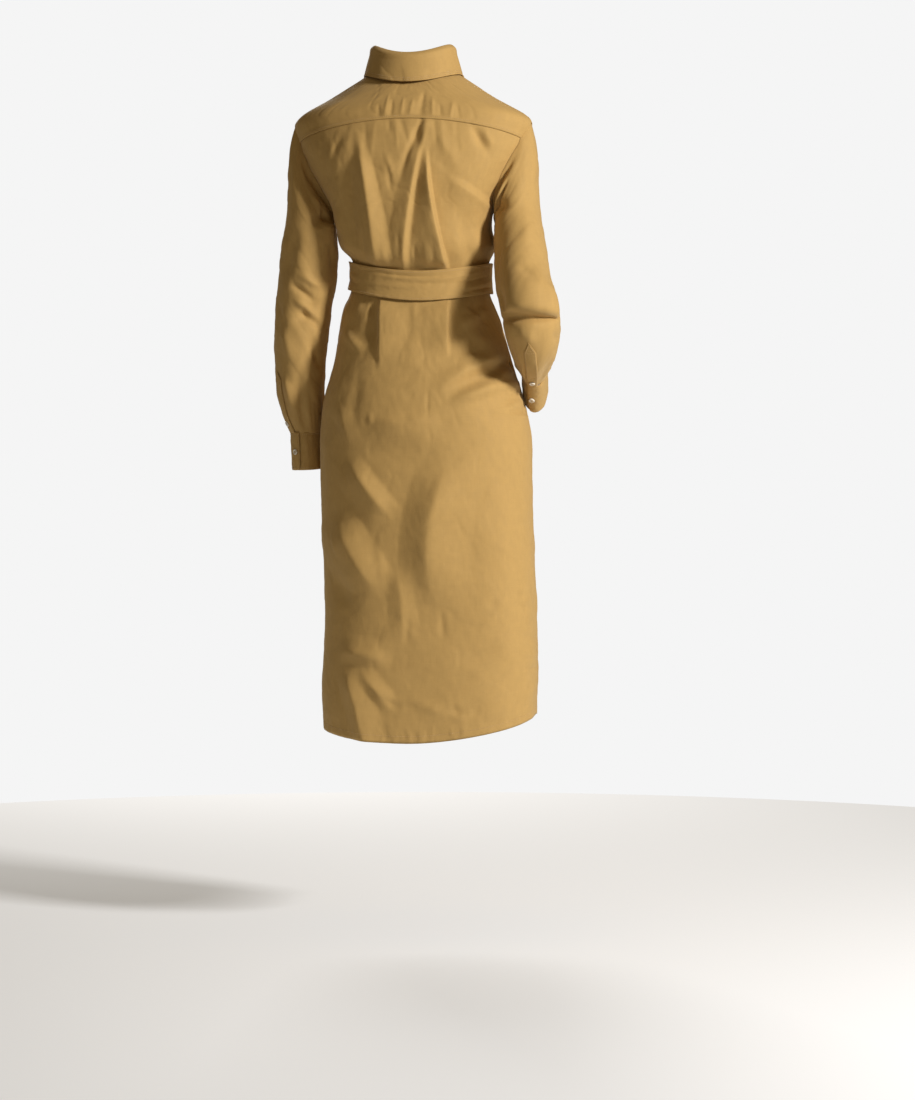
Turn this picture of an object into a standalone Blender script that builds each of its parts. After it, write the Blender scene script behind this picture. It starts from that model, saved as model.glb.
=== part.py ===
"""A belted shirt dress in the form it has when worn, hollow and open at neck, hem, cuffs and armholes.

Metres, +Z up. The dress faces -Y, so its back faces +Y and its left side is +X. The origin is in the
middle of the neck at the height of the shoulders, where the dress is carried.

A place on the body is given by its turn and its level. The turn is the angle round the body in
degrees, from 0 at centre back through +90 at the left side seam to 180 at centre front. The level
names one closed ring of the body, by the ring's height at centre back.
"""

from functools import partial

import bmesh
import bpy
import numpy as np
from mathutils import Vector

# Driving dimensions
WALL = 0.0016  # one layer of cloth with its turnings
BAND_WALL = 0.0022  # collar stand, cuffs and belt, two layers
SEAM_GAP = 0.0004  # between pieces that are sewn together
SEAM_TURN = 0.22  # degrees that each panel stops short of a seam
TIP_GAP = 0.0010  # more room for the turned-down sleeve head at the shoulder tip
HEM_LEVEL = -1.082
NECK_LEVEL = 0.005
ARMHOLE_LEVEL = -0.205  # underarm
YOKE_LEVEL = -0.062  # yoke seam on the back
TIP_LEVEL = -0.042  # shoulder tip
CHEST_LEVEL = -0.054  # armhole end of the yoke seam on the chest
CHEST_TURN = 107.0
NECK_TURN = 113.0  # neck end of the same seam
VENT_LEVEL = -0.915
BELT_LEVEL = -0.335
BELT_HEIGHT = 0.052
BELT_OUT = 0.0042  # inner face of the belt, out from the pulled-in waist
KNOT = (0.025, 0.0135, 0.029)  # half width, half depth and half height of the belt's knot
BAND_WIDTH = 0.032  # front band with the buttonholes
STAND_HEIGHT = 0.030
CUFF_LAP = 32.0  # degrees that a cuff lies over itself
CUFF_CORNER = 0.012
PLACKET_WIDTH = 0.022
PLACKET_LENGTH = 0.105
BUTTON_RADIUS = 0.0050
BUTTON_DEPTH = 0.0024

LEFT, RIGHT = 1.0, -1.0

# Rings of the body from the hem up to the neck. The top rings climb over the shoulders, so they are
# higher at the sides than at the back and lowest at centre front.
#  level: height at centre back       side_z, front_z: height at the side seams and at centre front
#  tilt: the left side's extra height  half, centre: half the width, and the middle of it in x
#  back, front: depth to each side     full: how far the corners of the oval swell
RINGS = np.array(
    (
        # level, side_z, front_z, tilt, half, centre, back, front, full
        (-1.082, -1.052, -1.072, -0.010, 0.1775, -0.0283, 0.122, 0.118, 0.10),
        (-1.000, -0.986, -0.995, -0.005, 0.1800, -0.0278, 0.124, 0.118, 0.09),
        (-0.910, -0.908, -0.910, 0.000, 0.1775, -0.0300, 0.125, 0.118, 0.08),
        (-0.800, -0.800, -0.800, 0.000, 0.1765, -0.0270, 0.127, 0.116, 0.07),
        (-0.687, -0.687, -0.687, 0.000, 0.1765, -0.0225, 0.131, 0.115, 0.06),
        (-0.570, -0.570, -0.570, 0.000, 0.1745, -0.0205, 0.133, 0.114, 0.05),
        (-0.520, -0.518, -0.518, 0.000, 0.1660, -0.0175, 0.127, 0.112, 0.05),
        (-0.470, -0.463, -0.463, 0.000, 0.1500, -0.0167, 0.115, 0.108, 0.05),
        (-0.420, -0.408, -0.406, 0.000, 0.1370, -0.0137, 0.101, 0.102, 0.05),
        (-0.385, -0.369, -0.364, 0.002, 0.1265, -0.0115, 0.092, 0.096, 0.05),
        (-0.361, -0.342, -0.336, 0.004, 0.1155, -0.0120, 0.084, 0.088, 0.04),
        (-0.335, -0.316, -0.310, 0.004, 0.1125, -0.0125, 0.081, 0.086, 0.04),
        (-0.309, -0.290, -0.284, 0.003, 0.1145, -0.0120, 0.083, 0.088, 0.04),
        (-0.285, -0.268, -0.264, 0.001, 0.1285, -0.0085, 0.097, 0.103, 0.05),
        (-0.250, -0.237, -0.236, 0.000, 0.1290, -0.0020, 0.105, 0.113, 0.06),
        (-0.205, -0.205, -0.205, 0.000, 0.1340, 0.0000, 0.108, 0.120, 0.07),
        (-0.150, -0.165, -0.165, 0.000, 0.1560, 0.0000, 0.109, 0.117, 0.07),
        (-0.105, -0.128, -0.138, 0.000, 0.1760, 0.0000, 0.107, 0.111, 0.06),
        (-0.062, -0.092, -0.118, 0.000, 0.1900, 0.0000, 0.100, 0.102, 0.05),
        (-0.042, -0.058, -0.106, 0.000, 0.1950, 0.0000, 0.093, 0.094, 0.04),
        (-0.020, -0.021, -0.092, 0.000, 0.1360, 0.0000, 0.081, 0.082, 0.02),
        (0.005, 0.024, -0.075, 0.000, 0.0660, 0.0000, 0.062, 0.066, 0.00),
    )
)

# How far each armhole cuts into the back and the front, as (reach, fade): reach is the depth in
# degrees, and fade is how much of it is given back towards the shoulder. The right arm swings back
# and narrows the back.
BACK_SCOOP = {LEFT: (17.0, 0.20), RIGHT: (52.0, 0.62)}
FRONT_SCOOP = {LEFT: (26.0, 0.3462), RIGHT: (26.0, 0.3462)}

# How far the back edge of each side seam stands open at the pocket, in degrees.
POCKET_MIDDLE, POCKET_HALF = -0.500, 0.058
POCKET_OPEN = {LEFT: 1.2, RIGHT: 8.0}
VENT_OPEN = {LEFT: 8.0, RIGHT: 3.0}  # the same for the back edge of each side vent at the hem

# Folds of the body, each a soft trough or ridge along a line on the back (face 1) or front (face -1).
#  x0, z0, x1, z1: the two ends           bow: how far the middle swings towards +x
#  wide0, wide1: half width at each end   rise: out (+) or in (-)
#  open0, open1: 1 where that end runs on at full depth
#  step: 0 for a ridge or trough, 1 or -1 for a step up on the +x or -x side of the line
FOLDS = np.array(
    (
        # face, x0, z0, x1, z1, bow, wide0, wide1, rise, open0, open1, step
        # bodice back: three sharp gathers with their steep sides to the right, and softer ones between
        (1, -0.030, -0.108, 0.006, -0.300, 0.004, 0.006, 0.007, 0.0100, 0, 1, 1),
        (1, -0.055, -0.157, -0.065, -0.307, 0.004, 0.005, 0.006, 0.0090, 0, 1, 1),
        (1, 0.065, -0.095, 0.037, -0.297, -0.005, 0.009, 0.010, 0.0090, 0, 1, 1),
        (1, -0.024, -0.072, -0.015, -0.120, 0.000, 0.008, 0.008, -0.0050, 0, 0, 0),
        (1, 0.096, -0.072, 0.088, -0.155, 0.000, 0.009, 0.010, 0.0045, 0, 0, 1),
        (1, -0.108, -0.072, -0.134, -0.124, 0.000, 0.008, 0.009, -0.0045, 0, 0, 0),
        (1, 0.115, -0.114, 0.108, -0.261, 0.000, 0.012, 0.013, 0.0040, 0, 0, 0),
        (1, -0.093, -0.204, -0.106, -0.304, 0.000, 0.013, 0.014, -0.0050, 0, 1, 0),
        # skirt back: a wide soft pleat below the belt, and creases that fan from the right pocket
        (1, 0.045, -0.350, 0.042, -0.451, 0.000, 0.005, 0.007, 0.0065, 1, 0, -1),
        (1, -0.067, -0.350, -0.067, -0.450, 0.000, 0.005, 0.007, 0.0080, 1, 0, 1),
        (1, 0.065, -0.350, 0.062, -0.434, 0.000, 0.010, 0.011, -0.0050, 1, 0, 0),
        (1, -0.116, -0.350, -0.139, -0.434, 0.000, 0.018, 0.020, -0.0080, 1, 0, 0),
        (1, 0.111, -0.398, 0.065, -0.447, 0.004, 0.008, 0.009, 0.0055, 0, 0, 0),
        (1, -0.169, -0.457, -0.044, -0.518, 0.000, 0.010, 0.012, -0.0060, 1, 0, 0),
        (1, -0.175, -0.496, -0.057, -0.526, 0.000, 0.010, 0.012, 0.0045, 1, 0, 0),
        # skirt back: drapes across the left half, and two ridges that run out at the hem
        (1, 0.054, -0.557, -0.057, -0.555, 0.000, 0.011, 0.012, 0.0060, 0, 0, 0),
        (1, 0.115, -0.598, -0.077, -0.614, 0.000, 0.020, 0.018, -0.0050, 0, 0, 0),
        (1, 0.131, -0.655, 0.006, -0.665, 0.000, 0.015, 0.015, 0.0065, 1, 0, 0),
        (1, 0.131, -0.694, 0.012, -0.720, 0.000, 0.014, 0.014, -0.0065, 1, 0, 0),
        (1, -0.073, -0.608, -0.030, -0.849, 0.006, 0.022, 0.024, 0.0050, 0, 0, 0),
        (1, 0.101, -0.738, 0.042, -0.869, -0.004, 0.018, 0.020, 0.0070, 0, 0, 0),
        (1, 0.124, -0.784, 0.088, -0.890, 0.000, 0.016, 0.018, -0.0055, 0, 0, 0),
        (1, 0.108, -0.905, 0.006, -0.918, 0.000, 0.015, 0.016, -0.0060, 0, 0, 0),
        (1, 0.105, -0.943, 0.012, -0.939, 0.000, 0.013, 0.014, 0.0050, 0, 0, 0),
        (1, 0.096, -0.961, 0.062, -1.081, -0.004, 0.010, 0.012, 0.0070, 0, 1, 0),
        (1, 0.085, -0.961, 0.032, -1.039, 0.000, 0.009, 0.010, -0.0050, 0, 0, 0),
        (1, 0.062, -0.964, 0.017, -1.019, 0.000, 0.009, 0.011, 0.0050, 0, 0, 0),
        # bodice front: cloth gathered by the belt
        (-1, 0.088, -0.185, 0.070, -0.300, 0.004, 0.012, 0.016, -0.0070, 0, 1, 0),
        (-1, 0.054, -0.205, 0.044, -0.300, 0.000, 0.010, 0.013, 0.0060, 0, 1, 0),
        (-1, -0.060, -0.195, -0.055, -0.300, 0.000, 0.012, 0.015, -0.0070, 0, 1, 0),
        (-1, -0.095, -0.180, -0.088, -0.300, 0.003, 0.012, 0.016, 0.0060, 0, 1, 0),
        (-1, 0.105, -0.110, 0.120, -0.190, 0.000, 0.010, 0.014, -0.0050, 0, 0, 0),
        (-1, -0.105, -0.110, -0.118, -0.190, 0.000, 0.010, 0.014, -0.0050, 0, 0, 0),
        # skirt front: soft folds from the belt, the pocket and the hand's side
        (-1, 0.064, -0.345, 0.074, -0.470, 0.000, 0.011, 0.018, -0.0070, 1, 0, 0),
        (-1, -0.057, -0.345, -0.068, -0.460, 0.000, 0.011, 0.018, -0.0070, 1, 0, 0),
        (-1, -0.095, -0.345, -0.125, -0.450, 0.000, 0.011, 0.017, 0.0060, 1, 0, 0),
        (-1, -0.150, -0.520, -0.060, -0.600, 0.008, 0.014, 0.019, -0.0060, 1, 0, 0),
        (-1, 0.120, -0.620, 0.040, -0.760, 0.000, 0.022, 0.026, -0.0065, 0, 0, 0),
        (-1, -0.125, -0.700, -0.060, -0.880, 0.000, 0.022, 0.028, 0.0065, 0, 0, 0),
        (-1, 0.110, -0.900, 0.070, -1.075, 0.004, 0.016, 0.020, 0.0065, 0, 1, 0),
    )
)

# Middle line and half sizes of each sleeve, from below the underarm to the seam of the cuff.
# across is measured away from the body, deep from front to back.
SLEEVES = {
    LEFT: np.array(
        (
            # x, y, z, across, deep
            (0.1730, 0.000, -0.235, 0.0430, 0.057),
            (0.1750, -0.002, -0.270, 0.0475, 0.060),
            (0.1785, -0.004, -0.315, 0.0485, 0.060),
            (0.1850, -0.006, -0.360, 0.0470, 0.058),
            (0.1900, -0.008, -0.410, 0.0455, 0.056),
            (0.1925, -0.012, -0.460, 0.0425, 0.054),
            (0.1920, -0.018, -0.505, 0.0390, 0.052),
            (0.1880, -0.024, -0.545, 0.0335, 0.047),
            (0.1835, -0.028, -0.5725, 0.0262, 0.0400),
        )
    ),
    RIGHT: np.array(
        (
            # x, y, z, across, deep
            (-0.1760, 0.022, -0.235, 0.0410, 0.057),
            (-0.1832, 0.044, -0.280, 0.0438, 0.059),
            (-0.1905, 0.072, -0.330, 0.0460, 0.060),
            (-0.2010, 0.094, -0.368, 0.0470, 0.058),
            (-0.2070, 0.100, -0.399, 0.0465, 0.055),
            (-0.2080, 0.080, -0.424, 0.0430, 0.052),
            (-0.2060, 0.044, -0.446, 0.0340, 0.047),
            (-0.2030, 0.009, -0.468, 0.0220, 0.0410),
        )
    ),
}
CUFF_END = {
    LEFT: (0.1815, -0.032, -0.6345, 0.0258, 0.0385),
    RIGHT: (-0.2000, -0.040, -0.508, 0.0215, 0.0400),
}
# Angle of the outer edge of the cuff's lap, and of the middle of the placket, both measured from the
# sleeve's outer side.
CUFF_EDGE = {LEFT: 74.0, RIGHT: 112.0}
PLACKET_ANGLE = {LEFT: 38.0, RIGHT: 92.0}

# Folds of each sleeve: along runs from 0 at the armhole to 1 at the cuff, angle is from the outer
# side towards the back, round is the half width, rise is out (+) or in (-), and step is 1 where the
# cloth above the line rolls over the cloth below it.
SLEEVE_FOLDS = {
    LEFT: (
        # along0, angle0, along1, angle1, round, rise, step
        (0.10, 150.0, 0.34, 100.0, 17.0, -0.0070, 0),
        (0.16, 165.0, 0.42, 140.0, 15.0, 0.0060, 0),
        (0.28, 75.0, 0.52, 40.0, 17.0, -0.0055, 0),
        (0.52, 160.0, 0.64, 70.0, 16.0, -0.0065, 0),
        (0.60, 240.0, 0.68, 320.0, 19.0, -0.0060, 0),
        (0.76, 100.0, 1.00, 98.0, 13.0, -0.0060, 0),
        (0.80, 140.0, 1.00, 136.0, 14.0, 0.0040, 0),
        (0.78, 250.0, 1.00, 250.0, 16.0, -0.0050, 0),
    ),
    RIGHT: (
        # along0, angle0, along1, angle1, round, rise, step
        (0.10, 140.0, 0.32, 110.0, 16.0, -0.0060, 0),
        (0.12, 170.0, 0.40, 165.0, 15.0, -0.0040, 0),
        (0.708, -5.0, 0.655, 170.0, 8.0, 0.0160, 1),
        (0.70, 235.0, 0.72, 320.0, 22.0, -0.0030, 0),
        (0.78, 50.0, 1.00, 62.0, 12.0, -0.0050, 0),
        (0.80, 28.0, 1.00, 36.0, 12.0, 0.0040, 0),
    ),
}

# Places along each sleeve of its rows, closer together where the bent elbow rolls over the forearm.
SLEEVE_ROWS = {
    LEFT: (0.0, 0.075, 0.15, 0.225, 0.3, 0.38, 0.46, 0.53, 0.60, 0.67, 0.74, 0.80, 0.86, 0.93, 1.0),
    RIGHT: (
        *(0.0, 0.075, 0.15, 0.225, 0.3, 0.40, 0.49, 0.55, 0.59, 0.620, 0.643, 0.660),
        *(0.677, 0.694, 0.711, 0.728, 0.755, 0.80, 0.87, 0.93, 1.0),
    ),
}

# The collar fall in section: out and up from the top edge of the stand, over the fold and down.
FALL_SECTION = np.array(
    (
        # out, up
        (-0.0005, 0.0022),
        (0.0000, 0.0075),
        (0.0045, 0.0125),
        (0.0105, 0.0090),
        (0.0140, -0.0040),
        (0.0180, -0.0200),
        (0.0225, -0.0375),
    )
)


def spline(table, place):
    """Rows of a table at each place along its first column, on a cubic with the table's own slopes."""
    knots = table[:, 0]
    slopes = np.gradient(table, knots, axis=0)
    row = np.clip(np.searchsorted(knots, place) - 1, 0, len(knots) - 2)
    step = (knots[row + 1] - knots[row])[..., None]
    t = (place - knots[row])[..., None] / step
    ease = t * t * (3 - 2 * t)
    return (
        table[row] * (1 - ease)
        + table[row + 1] * ease
        + step * slopes[row] * t * (1 - t) ** 2
        - step * slopes[row + 1] * t * t * (1 - t)
    )


def smooth(value):
    """0 below 0, 1 above 1, and a soft S between them."""
    value = np.clip(value, 0.0, 1.0)
    return value * value * (3 - 2 * value)


def body_form(turn, level):
    """Plain form of the body: an oval ring for each level, its corners swelled by its fullness."""
    turn, level = np.broadcast_arrays(np.asarray(turn, float), np.asarray(level, float))
    _, side_z, front_z, tilt, half, centre, back, front, full = np.moveaxis(spline(RINGS, level), -1, 0)
    sine, cosine = np.sin(np.radians(turn)), np.cos(np.radians(turn))
    swell = 1 + full * (2 * sine * cosine) ** 2
    x = centre + half * swell * sine
    y = np.where(cosine > 0, back, front) * swell * cosine
    end_z = np.where(cosine > 0, level, front_z)
    z = side_z + (end_z - side_z) * cosine**2 + tilt * sine
    return np.stack((x, y, z), axis=-1)


def fold_depth(points):
    """How far the folds push each point out, from the point's distance to each fold's line."""
    x, y, z = np.moveaxis(points, -1, 0)
    depth = np.zeros(x.shape)
    for face, x0, z0, x1, z1, bow, wide0, wide1, rise, open0, open1, step in FOLDS:
        length = np.hypot(x1 - x0, z1 - z0)
        along = ((x - x0) * (x1 - x0) + (z - z0) * (z1 - z0)) / length**2
        aside = ((x - x0) * (z0 - z1) + (z - z0) * (x1 - x0)) / length
        inside = np.clip(along, 0, 1)
        aside = aside - bow * 4 * inside * (1 - inside)
        beyond = (along - inside) * length
        wide = wide0 + (wide1 - wide0) * inside
        start = open0 + (1 - open0) * smooth(inside / 0.45)
        end = open1 + (1 - open1) * smooth((1 - inside) / 0.45)
        off = np.hypot(aside, beyond) / wide
        if step:
            away = aside / wide * step
            shape = smooth(away / 2 + 0.5)
            shape = shape * np.exp(-((np.maximum(away, 0) / 5) ** 2) - (beyond / wide) ** 2)
        else:
            shape = np.exp(-(off**2))
        near = smooth(y * face / 0.03 + 0.3)
        depth = depth + rise * start * end * shape * near
    return depth


def surface_normal(form, first, second, step_first, step_second):
    """Outward normal of a surface of two parameters, by central differences."""
    across = form(first + step_first, second) - form(first - step_first, second)
    up = form(first, second + step_second) - form(first, second - step_second)
    normal = np.cross(up, across)
    return normal / np.linalg.norm(normal, axis=-1, keepdims=True)


def body(turn, level, out=0.0):
    """Outer face of the body's cloth, moved out along the normal.

    Its folds are pressed flat under the belt and held flat by the yoke seam.
    """
    turn, level = np.broadcast_arrays(np.asarray(turn, float), np.asarray(level, float))
    form = body_form(turn, level)
    normal = surface_normal(body_form, turn, level, 0.5, 0.0015)
    pressed = 0.92 * np.exp(-(((level - BELT_LEVEL) / 0.044) ** 6))
    sewn = np.exp(-(((level - YOKE_LEVEL) / 0.010) ** 2))
    depth = fold_depth(form) * (1 - pressed) * (1 - sewn)
    return form + normal * (depth + out)[..., None]


def bump(value, middle, half):
    """A soft hump of height 1 at its middle, 0 from half its length away."""
    return np.clip(1 - ((value - middle) / half) ** 2, 0, 1) ** 2


def back_edge(level, side):
    """Turn of the back panel's edge: the side seam with its pocket and vent, then the armhole."""
    reach, fade = BACK_SCOOP[side]
    climb = np.clip((level - ARMHOLE_LEVEL) / (YOKE_LEVEL - ARMHOLE_LEVEL), 0, 1)
    pocket = POCKET_OPEN[side] * bump(level, POCKET_MIDDLE, POCKET_HALF)
    vent = VENT_OPEN[side] * np.clip((VENT_LEVEL - level) / (VENT_LEVEL - HEM_LEVEL), 0, 1) ** 0.7
    return 90 - reach * np.sqrt(climb) * (1 - fade * climb) - pocket - vent


def front_edge(level, side):
    """Turn of a front panel's outer edge: side seam, armhole, then the yoke seam on the chest."""
    reach, fade = FRONT_SCOOP[side]
    climb = np.clip((level - ARMHOLE_LEVEL) / (CHEST_LEVEL - ARMHOLE_LEVEL), 0, 1)
    chest = np.clip((level - CHEST_LEVEL) / (NECK_LEVEL - CHEST_LEVEL), 0, 1)
    return 90 + reach * np.sqrt(climb) * (1 - fade * climb) + (NECK_TURN - CHEST_TURN) * chest


def yoke_edge(turn, side):
    """Level of the yoke's lower edge: the back seam, then the armhole over the shoulder tip."""
    corner = back_edge(np.array(YOKE_LEVEL), side)
    back = np.clip((90 - turn) / (90 - corner), 0, 1)
    chest = np.clip((turn - 90) / (CHEST_TURN - 90), 0, 1)
    return TIP_LEVEL + (YOKE_LEVEL - TIP_LEVEL) * back**2 + (CHEST_LEVEL - TIP_LEVEL) * chest**2


ARMHOLE_STEPS = 6  # rows of a panel along its side of the armhole
TIP_STEPS = 3  # columns of the yoke on each side of the shoulder tip
YOKE_ROWS = 5
FRONT_COLUMNS = 8


def armhole_levels(top):
    """Levels from the underarm up to a seam, closer together where the armhole is round."""
    return ARMHOLE_LEVEL + (top - ARMHOLE_LEVEL) * np.linspace(0, 1, ARMHOLE_STEPS + 1) ** 2


def tip_turns(side):
    """Turns of the yoke's columns along the armhole, from the back seam over the tip to the chest."""
    corner = float(back_edge(np.array(YOKE_LEVEL), side))
    rear = np.linspace(corner, 90, TIP_STEPS + 1)
    return np.concatenate((rear, np.linspace(90, CHEST_TURN, TIP_STEPS + 1)[1:]))


def armhole_points(side):
    """The armhole's seam line as places (turn, level, angle round the sleeve), from tip by the back."""
    turns = tip_turns(side)
    rear = armhole_levels(YOKE_LEVEL)
    fore = armhole_levels(CHEST_LEVEL)
    places = []
    for step, turn in enumerate(turns[TIP_STEPS:0:-1]):
        places.append((turn, yoke_edge(turn, side), 50.0 * step / TIP_STEPS))
    for step, level in enumerate(rear[::-1]):
        places.append((back_edge(level, side), level, 50.0 + 130.0 * step / ARMHOLE_STEPS))
    for step, level in enumerate(fore[1:]):
        places.append((front_edge(level, side), level, 180.0 + 130.0 * (step + 1) / ARMHOLE_STEPS))
    for step, turn in enumerate(turns[-2:TIP_STEPS:-1]):
        places.append((turn, yoke_edge(turn, side), 310.0 + 50.0 * (step + 1) / TIP_STEPS))
    return np.array(places, float)


def sleeve_path(side):
    """The sleeve's table with the share of its length in front of each row."""
    rows = SLEEVES[side]
    steps = np.linalg.norm(np.diff(rows[:, :3], axis=0), axis=1)
    share = np.concatenate(((0,), np.cumsum(steps))) / steps.sum()
    return np.column_stack((share, rows))


def oval(side, row, towards, angle):
    """Points of an oval section at an angle: the sleeve's outer side is 0 and its back is 90."""
    towards = towards / np.linalg.norm(towards, axis=-1, keepdims=True)
    outer = np.array((side, 0.0, 0.0)) - towards * (side * towards[..., :1])
    outer = outer / np.linalg.norm(outer, axis=-1, keepdims=True)
    rear = np.cross(outer, towards) * side
    cosine, sine = np.cos(np.radians(angle))[..., None], np.sin(np.radians(angle))[..., None]
    return row[..., :3] + outer * cosine * row[..., 3:4] + rear * sine * row[..., 4:5]


TURN_SHARE = 0.16  # how far along to each side the sections of a bent sleeve share its turn


def sleeve_tube(side, share, angle):
    """The tube of the sleeve from its first section at share 0 to the cuff's seam at 1."""
    share, angle = np.broadcast_arrays(np.asarray(share, float), np.asarray(angle, float))
    path = sleeve_path(side)
    row = spline(path, share)[..., 1:]
    ahead, behind = np.clip(share + TURN_SHARE, 0, 1), np.clip(share - TURN_SHARE, 0, 1)
    towards = spline(path, ahead)[..., 1:4] - spline(path, behind)[..., 1:4]
    towards = towards / np.linalg.norm(towards, axis=-1, keepdims=True)
    cuff_way = np.array(CUFF_END[side][:3]) - SLEEVES[side][-1][:3]
    blend = smooth((share - 0.8) / 0.18)[..., None]
    towards = towards * (1 - blend) + cuff_way / np.linalg.norm(cuff_way) * blend
    return oval(side, row, towards, angle)


def tube_normal(form, down, angle, side):
    """Outward normal of a sleeve or cuff, given as a surface of its place down and its angle."""
    return surface_normal(form, down, angle, 0.01, 1.0) * -side


HEAD_SHARE = 0.30  # part of the sleeve's length taken by its head, above the first section


def sleeve_form(side, seam, along, angle):
    """The sleeve from its armhole line, seam, at along 0 to the cuff at 1.

    The head is a cubic from the armhole, leaving along the shoulder's slope, to the first section.
    """
    cosine, sine = np.cos(np.radians(angle)), np.sin(np.radians(angle))
    lean = (0.5 + 0.5 * cosine)[..., None]
    leave = np.stack((side * (0.10 + 0.20 * lean[..., 0]), 0.35 * sine, -0.75 - 0.15 * cosine), axis=-1)
    leave = leave / np.linalg.norm(leave, axis=-1, keepdims=True)
    first = sleeve_tube(side, np.zeros(angle.shape), angle)
    arrive = sleeve_tube(side, np.full(angle.shape, 0.02), angle) - first
    arrive = arrive / np.linalg.norm(arrive, axis=-1, keepdims=True)
    start = seam + leave * (2 * SEAM_GAP + TIP_GAP * lean**2)
    reach = np.linalg.norm(first - start, axis=-1, keepdims=True)
    t = np.clip(along / HEAD_SHARE, 0, 1)[..., None]
    head = (
        start * (1 - t) ** 3
        + (start + leave * reach * 0.36) * 3 * t * (1 - t) ** 2
        + (first - arrive * reach * 0.36) * 3 * t * t * (1 - t)
        + first * t**3
    )
    tube = sleeve_tube(side, np.clip((along - HEAD_SHARE) / (1 - HEAD_SHARE), 0, 1), angle)
    return np.where((along < HEAD_SHARE)[..., None], head, tube)


def sleeve_fold_depth(side, along, angle):
    """How far the sleeve's folds push each place out, from its distance to each fold's line."""
    depth = np.zeros(np.broadcast(along, angle).shape)
    scale = 520.0  # degrees that are as long as the whole sleeve
    for along0, angle0, along1, angle1, wide, rise, step in SLEEVE_FOLDS[side]:
        line_a, line_b = (along1 - along0) * scale, angle1 - angle0
        length = np.hypot(line_a, line_b)
        ahead, round_by = (along - along0) * scale, (angle - angle0 + 180) % 360 - 180
        part = np.clip((ahead * line_a + round_by * line_b) / length**2, 0, 1)
        off = np.hypot(ahead - part * line_a, round_by - part * line_b) / wide
        if step:
            above = (round_by * line_a - ahead * line_b) / length / wide
            beyond = np.sqrt(np.maximum(off**2 - above**2, 0)) * wide / 30
            shape = smooth(above / 2 + 0.5) * np.exp(-((np.maximum(above, 0) / 5) ** 2) - beyond**2)
        else:
            shape = np.exp(-(off**2))
        fade = smooth(part / 0.4) * smooth((1 - part) / 0.4) if along1 < 1 else smooth(part / 0.4)
        depth = depth + rise * fade * shape
    return depth * (1 - 0.85 * smooth((along - 0.93) / 0.07))


def grid_normals(points, closed):
    """Outward normals of a grid whose rows go up and whose columns go round by growing turn."""
    if closed:
        across = np.roll(points, -1, axis=1) - np.roll(points, 1, axis=1)
    else:
        across = np.gradient(points, axis=1)
    normal = np.cross(np.gradient(points, axis=0), across)
    return normal / np.linalg.norm(normal, axis=-1, keepdims=True)


def sleeve(side, rows):
    """Grid of the sleeve: a row for each place along it, a column for each point of the armhole."""
    places = armhole_points(side)
    seam = body(side * places[:, 0], places[:, 1])[None]
    angle = np.broadcast_to(places[:, 2], (len(rows), len(places)))
    along = np.broadcast_to(np.asarray(rows, float)[:, None], angle.shape)
    form = sleeve_form(side, seam, along, angle)
    normal = grid_normals(form, True) * side
    return form + normal * sleeve_fold_depth(side, along, angle)[..., None]


def material(name, colour, roughness):
    """A plain Principled material."""
    made = bpy.data.materials.new(name)
    made.use_nodes = True
    shader = made.node_tree.nodes["Principled BSDF"]
    shader.inputs["Base Color"].default_value = (*colour, 1)
    shader.inputs["Roughness"].default_value = roughness
    shader.inputs["Metallic"].default_value = 0.0
    made.diffuse_color = (*colour, 1)
    return made


def add_object(name, mesh, finish):
    """Puts a mesh in the scene under a name, shaded smooth, with its material."""
    mesh.materials.append(finish)
    mesh.shade_smooth()
    made = bpy.data.objects.new(name, mesh)
    bpy.context.scene.collection.objects.link(made)
    return made


def cloth(name, points, wall, finish, closed=False, flip=False):
    """A cloth wall: a grid of outer points, thickened inwards by Solidify."""
    rows, columns = points.shape[:2]
    corner = np.arange(rows * columns).reshape(rows, columns)
    nxt = np.roll(corner, -1, axis=1) if closed else corner[:, 1:]
    this = corner if closed else corner[:, :-1]
    faces = np.stack((this[:-1], this[1:], nxt[1:], nxt[:-1]), axis=-1).reshape(-1, 4)
    if flip:
        faces = faces[:, ::-1]
    mesh = bpy.data.meshes.new(name)
    mesh.from_pydata(points.reshape(-1, 3).tolist(), [], faces.tolist())
    made = add_object(name, mesh, finish)
    thicken = made.modifiers.new("wall", "SOLIDIFY")
    thicken.thickness = wall
    thicken.offset = -1
    return made


def closed_form(name, points, finish):
    """A solid form: rings of points one after the other, closed at both ends."""
    rings, count = points.shape[:2]
    corner = np.arange(rings * count).reshape(rings, count)
    nxt = np.roll(corner, -1, axis=1)
    sides = np.stack((corner[:-1], nxt[:-1], nxt[1:], corner[1:]), axis=-1).reshape(-1, 4)
    faces = sides.tolist() + [corner[0, ::-1].tolist(), corner[-1].tolist()]
    mesh = bpy.data.meshes.new(name)
    mesh.from_pydata(points.reshape(-1, 3).tolist(), [], faces)
    return add_object(name, mesh, finish)


def panel(levels, first, last, plain, power):
    """Grid of body points between two edges, each a turn for every level.

    plain holds the columns' turns where the edges lie on the side seams or centre front. An armhole
    or vent that cuts into the panel moves the columns beside it, the more so the higher the power.
    """
    share = (plain - plain[0]) / (plain[-1] - plain[0])
    start = (first - plain[0])[:, None] * (1 - share) ** power
    end = (last - plain[-1])[:, None] * share**power
    turn = plain + start + end
    return body(turn, np.broadcast_to(levels[:, None], turn.shape))


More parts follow.
